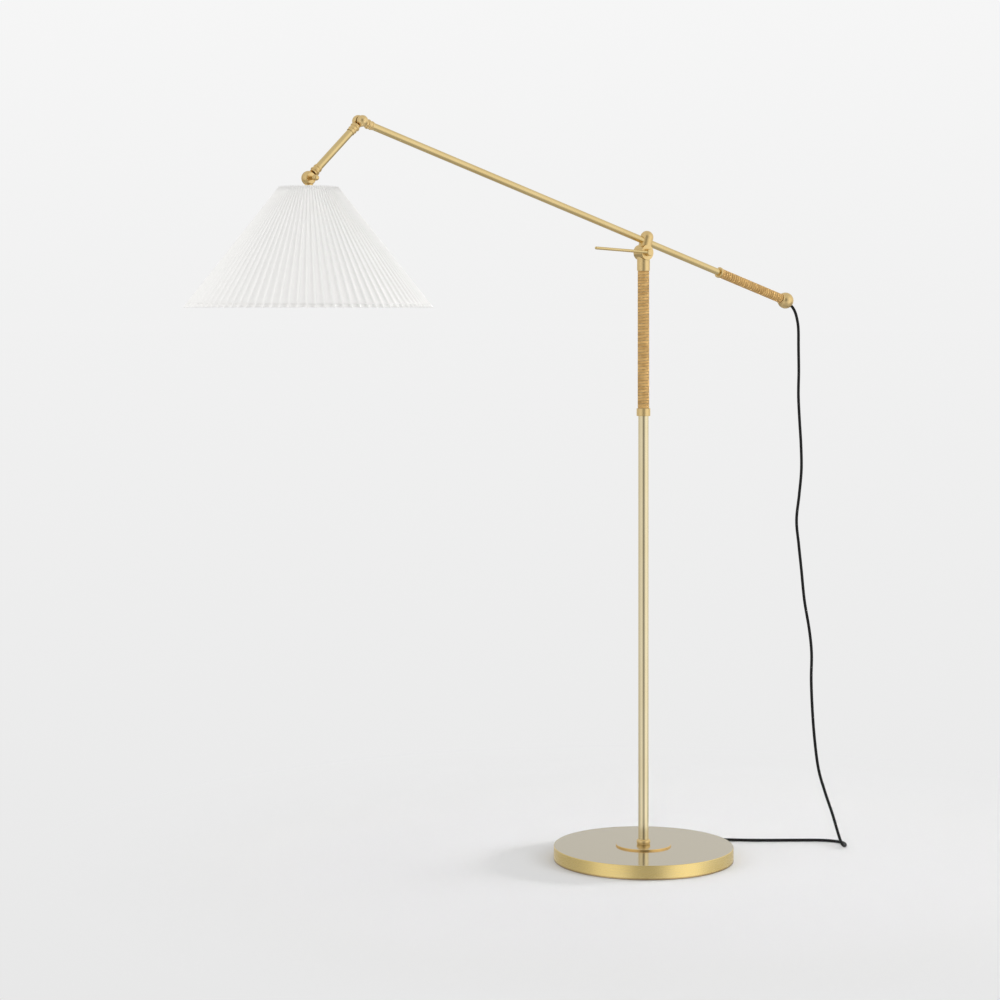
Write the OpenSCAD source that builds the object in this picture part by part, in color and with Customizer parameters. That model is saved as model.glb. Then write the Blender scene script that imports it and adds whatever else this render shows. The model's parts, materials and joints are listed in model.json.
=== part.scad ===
// Bridge floor lamp: round weighted base, pole with a cane grip, a long boom that
// tilts in a lever clamp, a cane-bound handle, an elbow, a short arm and a pleated shade.
// The boom, arm and shade move in the XZ plane; the shade is at -X and the front is -Y.

/* [Base] */
// Diameter of the base
base_d = 330; // [260:5:400]
// Height of the base
base_h = 26; // [20:1:40]
// Thickness of the cast disc inside the base
weight_t = 18; // [12:1:20]
// Diameter of the flange at the foot of the pole
flange_d = 102; // [60:1:140]

/* [Pole] */
// Outer diameter of the pole
pole_d = 19.05; // [16:0.05:25.4]
// Height of the boom pivot above the floor
pivot_h = 1116.6; // [900:0.1:1300]
// Lower end of the cane grip
grip_low = 830; // [700:1:900]
// Upper end of the cane grip
grip_high = 1083; // [1000:1:1095]
// Diameter of the collar on top of the pole
collar_d = 23.6; // [22:0.1:24]

/* [Boom] */
// Outer diameter of the boom and arm tubes
tube_d = 12.7; // [10:0.1:13]
// Slope of the boom at rest, shade end up
boom_slope = 16.77; // [5:0.01:30]
// Distance from the pivot to the boom's axis
boom_rise = 21; // [20.8:0.1:26]
// Distance from the clamp to the elbow
elbow_reach = 667; // [400:0.1:800]
// Distance from the clamp to the centre of the end ball
ball_reach = 374.7; // [300:0.1:450]
// Diameter of the end ball
ball_d = 31; // [28:1:32]
// Distance from the clamp to the front of the handle
handle_start = 190; // [150:1:220]

/* [Lever] */
// Length of the clamp lever
lever_l = 130; // [80:1:160]
// Diameter of the lever rod
lever_d = 5.5; // [4:0.5:6]
// Slope of the lever at rest, tip up
lever_slope = 2.8; // [0:0.1:10]
// Height of the rod above the middle of its hub
lever_rise = 0; // [0:0.1:2]

/* [Arm] */
// Distance from the elbow to the shade joint
arm_l = 144; // [120:0.5:180]
// Slope of the arm below horizontal
arm_drop = 43.6; // [30:0.1:60]
// Diameter of the shade joint's ball
joint_d = 24.4; // [22:0.1:24.6]

/* [Shade] */
// Diameter of the shade's bottom edge
shade_bottom_d = 413; // [300:1:450]
// Diameter of the shade's top edge
shade_top_d = 99; // [90:1:120]
// Height of the shade
shade_h = 200; // [160:1:240]
// Number of pleats
pleats = 90; // [60:1:120]
// Depth of a pleat at the bottom edge
pleat_depth = 4.5; // [2:0.1:6]

/* [Grip windings] */
// Turns of cane drawn on each grip
wrap_turns = 24; // [12:1:24]
// Thickness of the cane
cane_t = 1.0; // [0.8:0.1:1.4]

/* [Cord] */
// Diameter of the cord
cord_d = 5.5; // [5:0.1:6]

/* [Hidden] */
$fn = 64;

// Clearances
running = 0.05;      // radial, where a pin turns in a bore
seat = 0.02;         // radial, where a tube is fixed in a socket
far = 400;           // longer than any cut

// Base
pad_t = 2;
skirt_gap = 0.6;     // the brass cover stops just above the floor
cover_t = 1.5;
cover_edge_r = 1.2;
weight_r = base_d / 2 - 5;
boss_r = 30;
recess_r = 16;
recess_top = 12;
rod_r = 4.75;
flange_t = 3;
foot_collar_r = 12.6;
foot_collar_h = 9;

// Pole
pole_r = pole_d / 2;
pole_wall = 1.5;
pole_top = grip_high + 14;
ferrule_r = 12.6;
ferrule_h = 14;

// Head: a barrel across the boom's plane lies in the coped top of the collar
barrel_r = 14;
barrel_half = 12;
post_r = 12;
post_l = 29.3;
saddle_gap = 0.3;
shaft_r = 4;
eye_r = 8;
eye_half = 3;
stem_r = 3;
tilt_up = 30;        // handle raised
tilt_down = 40;      // handle lowered
hub_r = 6.5;
hub_near = 12.4;
hub_far = 19.6;
rear_r = 9.6;

// Boom: the frame's +Z runs down the boom towards the handle
tube_r = tube_d / 2;
tube_wall = 1;
clamp_x = boom_rise * sin(boom_slope);
clamp_z = pivot_h + boom_rise * cos(boom_slope);
ball_r = ball_d / 2;
sleeve_r = 7.8;
handle_collar_r = 10.2;
handle_collar_t = 4;
wrap_start = handle_start + handle_collar_t;
wrap_end = ball_reach - 14.6;
lip_r = 10.2;        // ring of the end ball, against the cane
exit_turn = 16.2;    // between the boom's axis and the cord's exit
bushing_tip = ball_r + 2.5;

// Elbow
front_r = 9.8;       // ball of the boom's half
front_off = 5.6;
back_r = 10.6;       // ball of the arm's half
back_off = 6.2;
knuckle_reach = 11.4;
neck_r = 6.8;
neck_l = 14;
elbow_bolt_r = 3;
washer_half = 0.6;
elbow_x = clamp_x - elbow_reach * cos(boom_slope);
elbow_z = clamp_z + elbow_reach * sin(boom_slope);

// Shade joint
joint_r = joint_d / 2;
joint_reach = 12.8;
joint_x = elbow_x - arm_l * cos(arm_drop);
joint_z = elbow_z - arm_l * sin(arm_drop);
thumb_r = 2.5;
face_n = 8.5;        // flat on the front of the ball
collar_low = 20;     // underside of the stem's collar, below the joint

// Shade, measured from the joint
shade_top_z = joint_z - 14;
shade_low_z = shade_top_z - shade_h;
cover_skin = 0.7;
pleat_top = 1.6;
liner_t = 0.8;
nipple_r = 4.8;
wire_r = 1.6;
spider_z = joint_z - collar_low - 1;
holder_top = spider_z - 5;
bulb_r = 30;
bulb_z = holder_top - 112;
key_z = holder_top - 27;

// Cord
cord_r = cord_d / 2;
cord_sides = 10;
coil_turn = -38;     // the coil lies behind the base as seen from the front left
coil_dist = 210.75;
coil_out_r = 40;
coil_pitch = 6;
coil_z = cord_r + 0.9;
coil_layer = 6;
coil_rings = 24;
coil_in_turns = 2.75;
tie_t = 0.8;
plug_z = 8;
plug_turn = 203.3;

// Route of the cord from the bushing to the coil
cord_route = [
    [384.6, 0, 1015], [388.5, 0, 1010.2], [391.2, 0, 1005.8], [393.6, -0.2, 1000],
    [396.1, -0.6, 991], [397.5, -1.5, 980.5], [397.2, -2.8, 969], [395.6, -4.6, 956],
    [393.6, -6.6, 943], [391.4, -9, 929], [386, -15, 891], [379, -21, 846], [374, -29, 799], [370, -37, 751],
    [364, -44, 704], [354, -48, 656], [343, -52, 609], [340, -61, 563],
    [337, -71, 516], [334, -82, 460], [334, -95, 405], [331, -104, 362],
    [323, -111, 313], [318, -119, 258], [315, -128, 203], [315, -138, 150],
    [321, -149, 108], [331, -158, 68], [340, -163, 34], [346, -164.5, 17],
    [354, -163, 7], [364, -158, 3.2], [375, -149, 2.9], [381, -136, 2.9],
    [379, -119, 2.9], [369, -102, 2.9], [350, -84, 2.9], [305, -50, 2.9],
    [262, -17, 2.9], [215, 28, 2.9], [174, 75, 2.9], [140, 107.5, 2.9]
];

/* ---------- helpers ---------- */

function unit(v) = v / norm(v);

// Points on a smooth curve through a list of points
function smooth(p, steps) = [
    for (i = [0 : len(p) - 2])
        let (a = p[max(i - 1, 0)], b = p[i], c = p[i + 1], d = p[min(i + 2, len(p) - 1)])
            for (k = [0 : steps - 1])
                let (t = k / steps)
                    0.5 * (2 * b + (c - a) * t + (2 * a - 5 * b + 4 * c - d) * t * t
                           + (3 * b - a - 3 * c + d) * t * t * t),
    p[len(p) - 1]
];

function directions(p) = [
    for (i = [0 : len(p) - 1]) unit(p[min(i + 1, len(p) - 1)] - p[max(i - 1, 0)])
];

// One side vector for each ring, carried along the path without twist
function sides_along(t, first) = [
    for (i = 0, u = unit(first - (first * t[0]) * t[0]);
         i < len(t);
         i = i + 1, u = i < len(t) ? unit(u - (u * t[i]) * t[i]) : u) u
];

// Triangles of a tube of so many rings and sides
function tube_faces(rings, sides) = concat(
    [for (k = [1 : sides - 2]) [0, k + 1, k]],
    [for (i = [0 : rings - 2], k = [0 : sides - 1])
        let (a = i * sides + k, b = i * sides + (k + 1) % sides) [a, b, a + sides]],
    [for (i = [0 : rings - 2], k = [0 : sides - 1])
        let (a = i * sides + k, b = i * sides + (k + 1) % sides) [b, b + sides, a + sides]],
    [for (k = [1 : sides - 2]) (rings - 1) * sides * [1, 1, 1] + [0, k, k + 1]]
);

// A round tube along a path; side 0 faces the given direction
module tube_along(path, r, sides, first) {
    t = directions(path);
    u = sides_along(t, first);
    points = [
        for (i = [0 : len(path) - 1], k = [0 : sides - 1])
            let (v = cross(t[i], u[i]), a = 360 * k / sides)
                path[i] + r * (cos(a) * u[i] + sin(a) * v)
    ];
    polyhedron(points = points, faces = tube_faces(len(path), sides), convexity = 10);
}

// A flat strip wound on a core: four corners for each ring
function strip_points(core_r, pitch, width, turns, rings) = [
    for (i = [0 : turns * rings])
        let (a = 360 * i / rings, z = pitch * i / rings, low = core_r / cos(180 / rings) + seat,
             high = low + cane_t - 0.15, edge = 0.2 * width)
            each [
                [low * cos(a), low * sin(a), z],
                [high * cos(a), high * sin(a), z + edge],
                [high * cos(a), high * sin(a), z + width - edge],
                [low * cos(a), low * sin(a), z + width]
            ]
];

module winding(core_r, length, turns, gap, name) {
    rings = 16;
    width = (length - gap * turns) / (turns + 1);
    pitch = width + gap;
    points = strip_points(core_r, pitch, width, turns, rings);
    steps = turns * rings;
    least = min([for (i = [0 : steps - rings]) norm(points[4 * (i + rings)] - points[4 * i + 3])]);
    echo(str(name, ": least gap between turns ", least, " mm"));
    mirror([0, 1, 0]) polyhedron(points = points, faces = tube_faces(steps + 1, 4), convexity = 10);
}

module ring(r_in, r_out, z_low, z_high) {
    translate([0, 0, z_low]) difference() {
        cylinder(r = r_out, h = z_high - z_low);
        translate([0, 0, -1]) cylinder(r = r_in, h = z_high - z_low + 2);
    }
}

// Cylinder along the pivots' axis, from a to b towards the front
module cross_pin(r, a, b) {
    rotate([90, 0, 0]) translate([0, 0, a]) cylinder(r = r, h = b - a);
}

module at_pivot() {
    translate([0, 0, pivot_h]) children();
}

module on_boom() {
    translate([clamp_x, 0, clamp_z]) rotate([0, 90 + boom_slope, 0]) children();
}

module at_elbow() {
    translate([elbow_x, 0, elbow_z]) children();
}

module on_arm() {
    at_elbow() rotate([0, -90 - arm_drop, 0]) children();
}

module at_joint() {
    translate([joint_x, 0, joint_z]) children();
}

module on_shade() {
    translate([joint_x, 0, 0]) children();
}

// The half of space in front of (side 1) or behind (side -1) the middle plane
module half_space(side, gap) {
    translate([-far / 2, side > 0 ? -far - gap : gap, -far / 2]) cube([far, far, far]);
}

/* ---------- base ---------- */

module base_pad() {
    color([0.12, 0.12, 0.12]) cylinder(r = weight_r + 1, h = pad_t);
}

module base_weight() {
    top = base_h - cover_t;
    floor_z = pad_t + weight_t;
    color([0.25, 0.25, 0.26]) rotate_extrude($fn = 96) polygon([
        [recess_r, pad_t], [weight_r, pad_t], [weight_r, top], [weight_r - 10, top],
        [weight_r - 12, floor_z], [boss_r + 3, floor_z], [boss_r, top],
        [rod_r + 0.3, top], [rod_r + 0.3, recess_top], [recess_r, recess_top]
    ]);
}

module base_cover() {
    r = base_d / 2;
    color([0.80, 0.66, 0.40]) rotate_extrude($fn = 96) polygon(concat(
        [[rod_r + 0.3, base_h - cover_t], [r - cover_t, base_h - cover_t], [r - cover_t, skirt_gap],
         [r, skirt_gap]],
        [for (a = [0 : 15 : 90])
            [r - cover_edge_r + cover_edge_r * cos(a), base_h - cover_edge_r + cover_edge_r * sin(a)]],
        [[rod_r + 0.3, base_h]]
    ));
}

module base_washer() {
    color([0.75, 0.75, 0.76]) ring(rod_r + 0.2, 14, recess_top - 1.6, recess_top);
}

module base_nut() {
    color([0.75, 0.75, 0.76]) translate([0, 0, pad_t + 1.4]) difference() {
        cylinder(r = 9.2, h = recess_top - 1.6 - pad_t - 1.4, $fn = 6);
        translate([0, 0, -1]) cylinder(r = rod_r + seat, h = 20);
    }
}

module tie_rod() {
    color([0.75, 0.75, 0.76]) translate([0, 0, pad_t + 0.6]) cylinder(r = rod_r, h = base_h + 22);
}

module base_flange() {
    r = flange_d / 2;
    e = 1.2;
    color([0.85, 0.68, 0.38]) translate([0, 0, base_h]) rotate_extrude($fn = 96) polygon(concat(
        [[pole_r + seat, 0], [r, 0]],
        [for (a = [0 : 30 : 90]) [r - e + e * cos(a), flange_t - e + e * sin(a)]],
        [[pole_r + seat, flange_t]]
    ));
}

module foot_collar() {
    r = foot_collar_r;
    h = foot_collar_h;
    color([0.86, 0.68, 0.36]) translate([0, 0, base_h + flange_t]) rotate_extrude() polygon(concat(
        [[pole_r + seat, 0], [r - 1, 0]],
        [for (a = [-40 : 20 : 80]) [r - 2.8 + 2.8 * cos(a), 0.45 * h + 0.5 * h * sin(a)]],
        [[pole_r + seat, h]]
    ));
}

/* ---------- pole ---------- */

module pole_insert() {
    color([0.75, 0.75, 0.76]) ring(rod_r + seat, pole_r - pole_wall - seat, base_h, base_h + 30);
}

module pole_tube() {
    color([0.84, 0.72, 0.48]) ring(pole_r - pole_wall, pole_r, base_h, pole_top);
}

// A ferrule with softened ends
module ferrule(r_in, r, h, e) {
    rotate_extrude() polygon([
        [r_in, 0], [r - e, 0], [r, e], [r, h - e], [r - e, h], [r_in, h]
    ]);
}

module lower_ferrule() {
    color([0.84, 0.70, 0.44]) translate([0, 0, grip_low - ferrule_h])
        ferrule(pole_r + seat, ferrule_r, ferrule_h, 0.5);
}

module pole_wrap() {
    color([0.72, 0.55, 0.30]) translate([0, 0, grip_low + 0.1])
        winding(pole_r, grip_high - grip_low - 0.2, wrap_turns, 0.6, "pole wrap");
}

module head_collar() {
    color([0.85, 0.70, 0.42]) difference() {
        translate([0, 0, grip_high]) cylinder(d = collar_d, h = pivot_h - grip_high);
        translate([0, 0, grip_high - 1]) cylinder(r = pole_r + seat, h = pole_top - grip_high + 1);
        cylinder(r = stem_r + 0.3, h = 2 * pivot_h);
        at_pivot() cross_pin(barrel_r + saddle_gap, -far, far);
        at_pivot() rotate([0, boom_slope + tilt_down, 0]) cylinder(r = post_r + saddle_gap, h = post_l);
    }
}

module draw_bolt() {
    color([0.85, 0.68, 0.38]) at_pivot() difference() {
        union() {
            cross_pin(eye_r, -eye_half, eye_half);
            translate([0, 0, -30]) cylinder(r = stem_r, h = 26);
        }
        cross_pin(shaft_r + running, -far, far);
    }
}

module draw_nut() {
    color([0.75, 0.75, 0.76]) translate([0, 0, pole_top - 5]) difference() {
        cylinder(r = 6.5, h = 5, $fn = 6);
        translate([0, 0, -1]) cylinder(r = stem_r + seat, h = 7);
    }
}

/* ---------- boom head and lever ---------- */

// Room for the draw bolt's stem over the whole tilt
module stem_slot() {
    w = stem_r + 0.4;
    out = function (a) 20 * [sin(a), -cos(a)];
    side = function (a) w * [cos(a), sin(a)];
    rotate([90, 0, 0]) linear_extrude(height = 2 * eye_half + 0.8, center = true) polygon(concat(
        [-side(-tilt_up), out(-tilt_up) - side(-tilt_up)],
        [for (a = [-tilt_up : 10 : tilt_down]) out(a) * 1.06],
        [out(tilt_down) + side(tilt_down), side(tilt_down)]
    ));
}

module boom_head() {
    color([0.85, 0.68, 0.38]) difference() {
        union() {
            at_pivot() cross_pin(barrel_r, -barrel_half, barrel_half);
            at_pivot() rotate([0, boom_slope, 0]) cylinder(r = post_r, h = post_l);
            at_pivot() rotate([0, boom_slope, 0]) translate([0, 0, post_l]) sphere(r = post_r);
        }
        at_pivot() cross_pin(shaft_r + running, -far, far);
        at_pivot() cross_pin(eye_r + 0.4, -eye_half - 0.4, eye_half + 0.4);
        at_pivot() stem_slot();
        on_boom() translate([0, 0, -far / 2]) cylinder(r = tube_r + seat, h = far);
        on_boom() cross_pin(2 + seat, -far, 0);
    }
}

module boom_grub_screw() {
    color([0.75, 0.75, 0.76]) on_boom() difference() {
        cross_pin(2, -post_r + 0.6, -tube_r - seat);
        cross_pin(1.1, -post_r, -post_r + 2.6, $fn = 6);
    }
}

// The frame's +Z runs along the lever from its hub
module lever_line() {
    translate([0, -(hub_near + hub_far) / 2, lever_rise]) rotate([0, lever_slope - 90, 0]) children();
}

module clamp_shaft() {
    color([0.85, 0.68, 0.38]) at_pivot() difference() {
        union() {
            cross_pin(shaft_r, -barrel_half - 4, hub_near + 1);
            cross_pin(hub_r, hub_near, hub_far - 1);
            rotate([90, 0, 0]) translate([0, 0, hub_far - 1]) cylinder(r1 = hub_r, r2 = hub_r - 1, h = 1);
        }
        lever_line() translate([0, 0, -3]) cylinder(r = lever_d / 2 + seat, h = 20);
    }
}

module lever_rod() {
    color([0.88, 0.74, 0.46]) at_pivot() lever_line() {
        translate([0, 0, -3 + seat]) cylinder(d = lever_d, h = lever_l + 3 - lever_d / 2);
        translate([0, 0, lever_l - lever_d / 2]) sphere(d = lever_d);
    }
}

module rear_nut() {
    color([0.85, 0.68, 0.38]) at_pivot() difference() {
        union() {
            cross_pin(rear_r, -barrel_half - 3, -barrel_half - 0.4);
            translate([0, barrel_half + 3, 0]) scale([1, 0.36, 1]) intersection() {
                sphere(r = rear_r);
                half_space(-1, 0);
            }
        }
        cross_pin(shaft_r + seat, -barrel_half - 4.1, 0);
    }
}

/* ---------- boom ---------- */

module boom_tube() {
    color([0.84, 0.70, 0.42]) on_boom()
        ring(tube_r - tube_wall, tube_r, knuckle_reach + 1.2 - elbow_reach, ball_reach - 6);
}

module handle_collar() {
    color([0.85, 0.70, 0.42]) on_boom() translate([0, 0, handle_start])
        ferrule(tube_r + seat, handle_collar_r, handle_collar_t, 0.7);
}

module handle_sleeve() {
    color([0.80, 0.66, 0.40]) on_boom() ring(tube_r + seat, sleeve_r, wrap_start, wrap_end);
}

module handle_wrap() {
    color([0.74, 0.58, 0.33]) on_boom() translate([0, 0, wrap_start + 0.1])
        winding(sleeve_r, wrap_end - wrap_start - 0.2, wrap_turns, 0.6, "handle wrap");
}

module end_ball() {
    color([0.85, 0.70, 0.42]) on_boom() difference() {
        union() {
            translate([0, 0, ball_reach]) sphere(r = ball_r);
            translate([0, 0, wrap_end]) ferrule(1, lip_r, 5, 0.7);
        }
        translate([0, 0, wrap_end - 2 * ball_r]) cylinder(r = ball_r, h = 2 * ball_r);
        translate([0, 0, wrap_end - 1]) cylinder(r = tube_r + seat, h = ball_reach - 6 - wrap_end + 1);
        translate([0, 0, ball_reach - 7]) cylinder(r = 4, h = 7);
        translate([0, 0, ball_reach]) rotate([0, exit_turn, 0]) {
            sphere(r = 4 + seat);
            cylinder(r = 4 + seat, h = 40);
        }
    }
}

// Short tapered sleeve in the ball, turned down, that keeps the cord from kinking
module cord_bushing() {
    color([0.08, 0.08, 0.08]) on_boom() translate([0, 0, ball_reach]) rotate([0, exit_turn, 0]) difference() {
        union() {
            translate([0, 0, 5]) cylinder(r = 4, h = bushing_tip - 7);
            translate([0, 0, bushing_tip - 2]) cylinder(r1 = 4, r2 = 3.1, h = 2);
        }
        translate([0, 0, 4]) cylinder(r = 2, h = bushing_tip);
    }
}

module boom_lead() {
    color([0.75, 0.75, 0.72]) on_boom() translate([0, 0, 6 - elbow_reach + knuckle_reach])
        cylinder(r = 1.9, h = elbow_reach - knuckle_reach - 6 + ball_reach - 6);
}

// Collar with two beads, laid over the neck of a joint
module beaded_ferrule(l) {
    r_in = neck_r + seat;
    rotate_extrude() polygon(concat(
        [[r_in, 0], [7.1, 0]],
        [for (a = [-90 : 30 : 90]) [7.2 + 1.3 * cos(a), 2.8 + 1.9 * sin(a)]],
        [for (a = [-90 : 30 : 90]) [7.2 + 0.6 * cos(a), 9.7 + 1.1 * sin(a)]],
        [[7.1, 11], [7.1, l], [r_in, l]]
    ));
}

module boom_ferrule() {
    color([0.86, 0.68, 0.38]) on_boom() translate([0, 0, knuckle_reach + 1.5 - elbow_reach])
        beaded_ferrule(12.8);
}

/* ---------- elbow ---------- */

// One half of a swivel: a ball beside the middle plane and a neck centred on it
module knuckle(side, bore) {
    r = side > 0 ? front_r : back_r;
    off = side > 0 ? front_off : back_off;
    difference() {
        union() {
            intersection() {
                union() {
                    translate([0, -side * off, 0]) sphere(r = r);
                    cylinder(r = neck_r, h = knuckle_reach + 0.5);
                }
                half_space(side, washer_half);
            }
            translate([0, 0, knuckle_reach]) cylinder(r = neck_r, h = neck_l);
        }
        cross_pin(bore, -far, side > 0 ? 12.6 : far);
        translate([0, 0, knuckle_reach + 1]) cylinder(r = tube_r + seat, h = far);
        translate([0, 0, 4]) cylinder(r = 2.2, h = far);
    }
}

module elbow_boom_half() {
    color([0.86, 0.68, 0.38]) on_boom() translate([0, 0, -elbow_reach]) knuckle(1, elbow_bolt_r + seat);
}

module elbow_arm_half() {
    color([0.86, 0.68, 0.38]) difference() {
        on_arm() knuckle(-1, elbow_bolt_r + running);
        at_elbow() cross_pin(4.8, -far, -12.8);
    }
}

module elbow_bolt() {
    color([0.80, 0.64, 0.36]) at_elbow() difference() {
        union() {
            cross_pin(elbow_bolt_r, -13.8, 12.4);
            cross_pin(4.6, -15.8, -13);
        }
        translate([-5, 15, -0.5]) cube([10, 2, 1]);
    }
}

module elbow_washer() {
    color([0.30, 0.24, 0.14]) at_elbow() difference() {
        cross_pin(4.4, 0.1 - washer_half, washer_half);
        cross_pin(elbow_bolt_r + seat, -far, far);
    }
}

/* ---------- arm ---------- */

module arm_upper_ferrule() {
    color([0.86, 0.68, 0.38]) on_arm() translate([0, 0, knuckle_reach + 1.5])
        beaded_ferrule(15.8);
}

module arm_tube() {
    color([0.85, 0.68, 0.38]) on_arm()
        ring(tube_r - tube_wall, tube_r, knuckle_reach + 1.2, arm_l - joint_reach - 1.2);
}

module arm_lead() {
    color([0.75, 0.75, 0.72]) on_arm() translate([0, 0, knuckle_reach + 6])
        cylinder(r = 1.9, h = arm_l - joint_reach - knuckle_reach - 12);
}

module arm_lower_ferrule() {
    color([0.86, 0.68, 0.38]) on_arm() translate([0, 0, arm_l - joint_reach - 2]) mirror([0, 0, 1])
        beaded_ferrule(12.8);
}

/* ---------- shade joint ---------- */

module shade_joint_cup() {
    color([0.86, 0.68, 0.36]) difference() {
        union() {
            intersection() {
                union() {
                    at_joint() sphere(r = joint_r);
                    on_arm() translate([0, 0, arm_l - joint_reach - 0.5])
                        cylinder(r = neck_r, h = joint_reach);
                }
                at_joint() half_space(-1, 0.15);
            }
            on_arm() translate([0, 0, arm_l - joint_reach - neck_l]) cylinder(r = neck_r, h = neck_l);
        }
        on_arm() cylinder(r = tube_r + seat, h = arm_l - joint_reach - 1);
        on_arm() translate([0, 0, arm_l - joint_reach - 3]) cylinder(r = 2.2, h = 7);
        at_joint() cross_pin(thumb_r + running, -8.5, far);
    }
}

module shade_joint_stem() {
    color([0.86, 0.68, 0.36]) difference() {
        union() {
            intersection() {
                union() {
                    at_joint() sphere(r = joint_r);
                    at_joint() translate([0, 0, -joint_reach]) cylinder(r = 7.4, h = joint_reach);
                }
                at_joint() half_space(1, 0.15);
            }
            at_joint() translate([0, 0, -collar_low]) cylinder(r = 7.4, h = collar_low - joint_reach);
            at_joint() translate([0, 0, -joint_reach - 4.6]) rotate_extrude() polygon([
                [5, 0], [8.2, 0], [8.6, 1], [8.6, 3.4], [8, 4.2], [5, 4.2]
            ]);
        }
        at_joint() translate([-far / 2, -far - face_n, -far / 2]) cube([far, far, far]);
        at_joint() cross_pin(thumb_r + running, -far, far);
        translate([joint_x, 0, joint_z - far]) cylinder(r = nipple_r + seat, h = far - joint_reach + 0.5);
        at_joint() translate([0, 0, -joint_reach - 1]) cylinder(r = 2.2, h = 8);
    }
}

module thumb_screw() {
    knob_n = 17;
    color([0.87, 0.72, 0.42]) at_joint() {
        cross_pin(thumb_r, -8, knob_n + 1);
        cross_pin(3.4, 8.8, 12);
        rotate([90, 0, 0]) translate([0, 0, knob_n]) rotate_extrude() polygon([
            [0, 0], [3.6, 0], [4.9, 1.2], [4.9, 6.4], [4.2, 8], [2.4, 9], [0, 9]
        ]);
    }
}

/* ---------- shade frame and lampholder ---------- */

module stem_nipple() {
    color([0.75, 0.75, 0.76]) translate([joint_x, 0, 0])
        ring(3, nipple_r, holder_top - 7, joint_z - joint_reach);
}

module shade_spider() {
    top_r = liner_top_r() - liner_t - wire_r - 0.6;
    color([0.90, 0.90, 0.88]) difference() {
        union() {
            translate([joint_x, 0, spider_z - 1]) cylinder(r = 12, h = 2);
            on_shade() translate([0, 0, spider_z]) {
                rotate_extrude() translate([top_r, 0]) circle(r = wire_r, $fn = 24);
                for (a = [30, 150, 270]) rotate([0, 90, a]) cylinder(r = 1, h = top_r);
            }
        }
        translate([joint_x, 0, spider_z - 4]) cylinder(r = nipple_r + 0.1, h = 8);
    }
}

module spider_nut() {
    color([0.80, 0.80, 0.80]) translate([joint_x, 0, spider_z - 5]) difference() {
        cylinder(r = 8.5, h = 4, $fn = 6);
        translate([0, 0, -1]) cylinder(r = nipple_r + seat, h = 6);
    }
}

module lampholder_cap() {
    color([0.82, 0.68, 0.40]) translate([joint_x, 0, holder_top - 24]) rotate_extrude() polygon(concat(
        [[nipple_r + seat, 24], [8, 24], [8.6, 22]],
        [for (a = [80 : -10 : 0]) [18 * cos(a * 0.75) ^ 0.8, 6 + 14 * sin(a)]],
        [[18, 0], [17.2, 0]],
        [for (a = [0 : 10 : 70]) [17.2 * cos(a * 0.75) ^ 0.8, 5.6 + 13 * sin(a)]],
        [[nipple_r + seat, 18.6]]
    ));
}

module lampholder_shell() {
    low = holder_top - 62;
    color([0.82, 0.68, 0.40]) translate([joint_x, 0, 0]) difference() {
        ring(16.2, 17, low, holder_top - 19);
        translate([0, 0, key_z]) rotate([0, 90, 0]) cylinder(r = 2.6, h = 40);
    }
}

module lampholder_core() {
    color([0.10, 0.09, 0.08]) translate([joint_x, 0, 0]) difference() {
        translate([0, 0, holder_top - 56]) cylinder(r = 16, h = 36);
        translate([0, 0, holder_top - 57]) cylinder(r = 13.6, h = 25);
        translate([0, 0, key_z]) rotate([0, 90, 0]) cylinder(r = 1.5 + running, h = 40);
    }
}

module switch_key() {
    color([0.10, 0.09, 0.08]) translate([joint_x, 0, key_z]) rotate([0, 90, 0]) {
        translate([0, 0, 2]) cylinder(r = 1.5, h = 20);
        translate([0, 0, 20]) difference() {
            cylinder(r = 5.5, h = 13);
            for (s = [-1, 1]) translate([s * 6 - 4, -10, 3]) cube([8, 20, 20]);
        }
    }
}

// Half outline of the glass, from the neck down to its lowest point
function bulb_outline(inset) = concat(
    [[13.2 - inset, bulb_r + 26], [13.6 - inset, bulb_r + 20]],
    [for (a = [62 : -12 : 14]) [(bulb_r - inset) * cos(a) + 0.6 * (a - 14) / 48, (bulb_r + 12) * sin(a)]],
    [for (a = [0 : -12 : -84]) (bulb_r - inset) * [cos(a), sin(a)]],
    [[0, inset - bulb_r]]
);

module bulb_glass() {
    outer = bulb_outline(0);
    inner = bulb_outline(1);
    last = len(inner) - 1;
    color([0.96, 0.95, 0.92]) translate([joint_x, 0, bulb_z]) rotate_extrude()
        polygon(concat(outer, [for (i = [last : -1 : 0]) inner[i]]));
}

module bulb_base() {
    color([0.78, 0.78, 0.78]) translate([joint_x, 0, bulb_z + bulb_r + 26]) rotate_extrude() polygon([
        [0, 0], [13, 0], [13.2, 0.4], [13.2, 16], [6, 19], [4.6, 21], [0, 21.5]
    ]);
}

/* ---------- shade ---------- */

function cover_r(z) = let (f = (z - shade_low_z) / shade_h)
    shade_bottom_d / 2 + (shade_top_d - shade_bottom_d) / 2 * f;
function pleat_at(z) = let (f = (z - shade_low_z) / shade_h)
    pleat_depth + (pleat_top - pleat_depth) * f;
function liner_r(z) = cover_r(z) - pleat_at(z) - cover_skin - 0.4;
function liner_top_r() = liner_r(spider_z);

module shade_liner() {
    low = shade_low_z + 3;
    high = shade_top_z - 1;
    color([0.97, 0.97, 0.96]) on_shade() rotate_extrude($fn = 96) polygon([
        [liner_r(low) - liner_t, low],
        [liner_r(low), low],
        [liner_r(high), high],
        [liner_r(high) - liner_t, high]
    ]);
}

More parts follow.
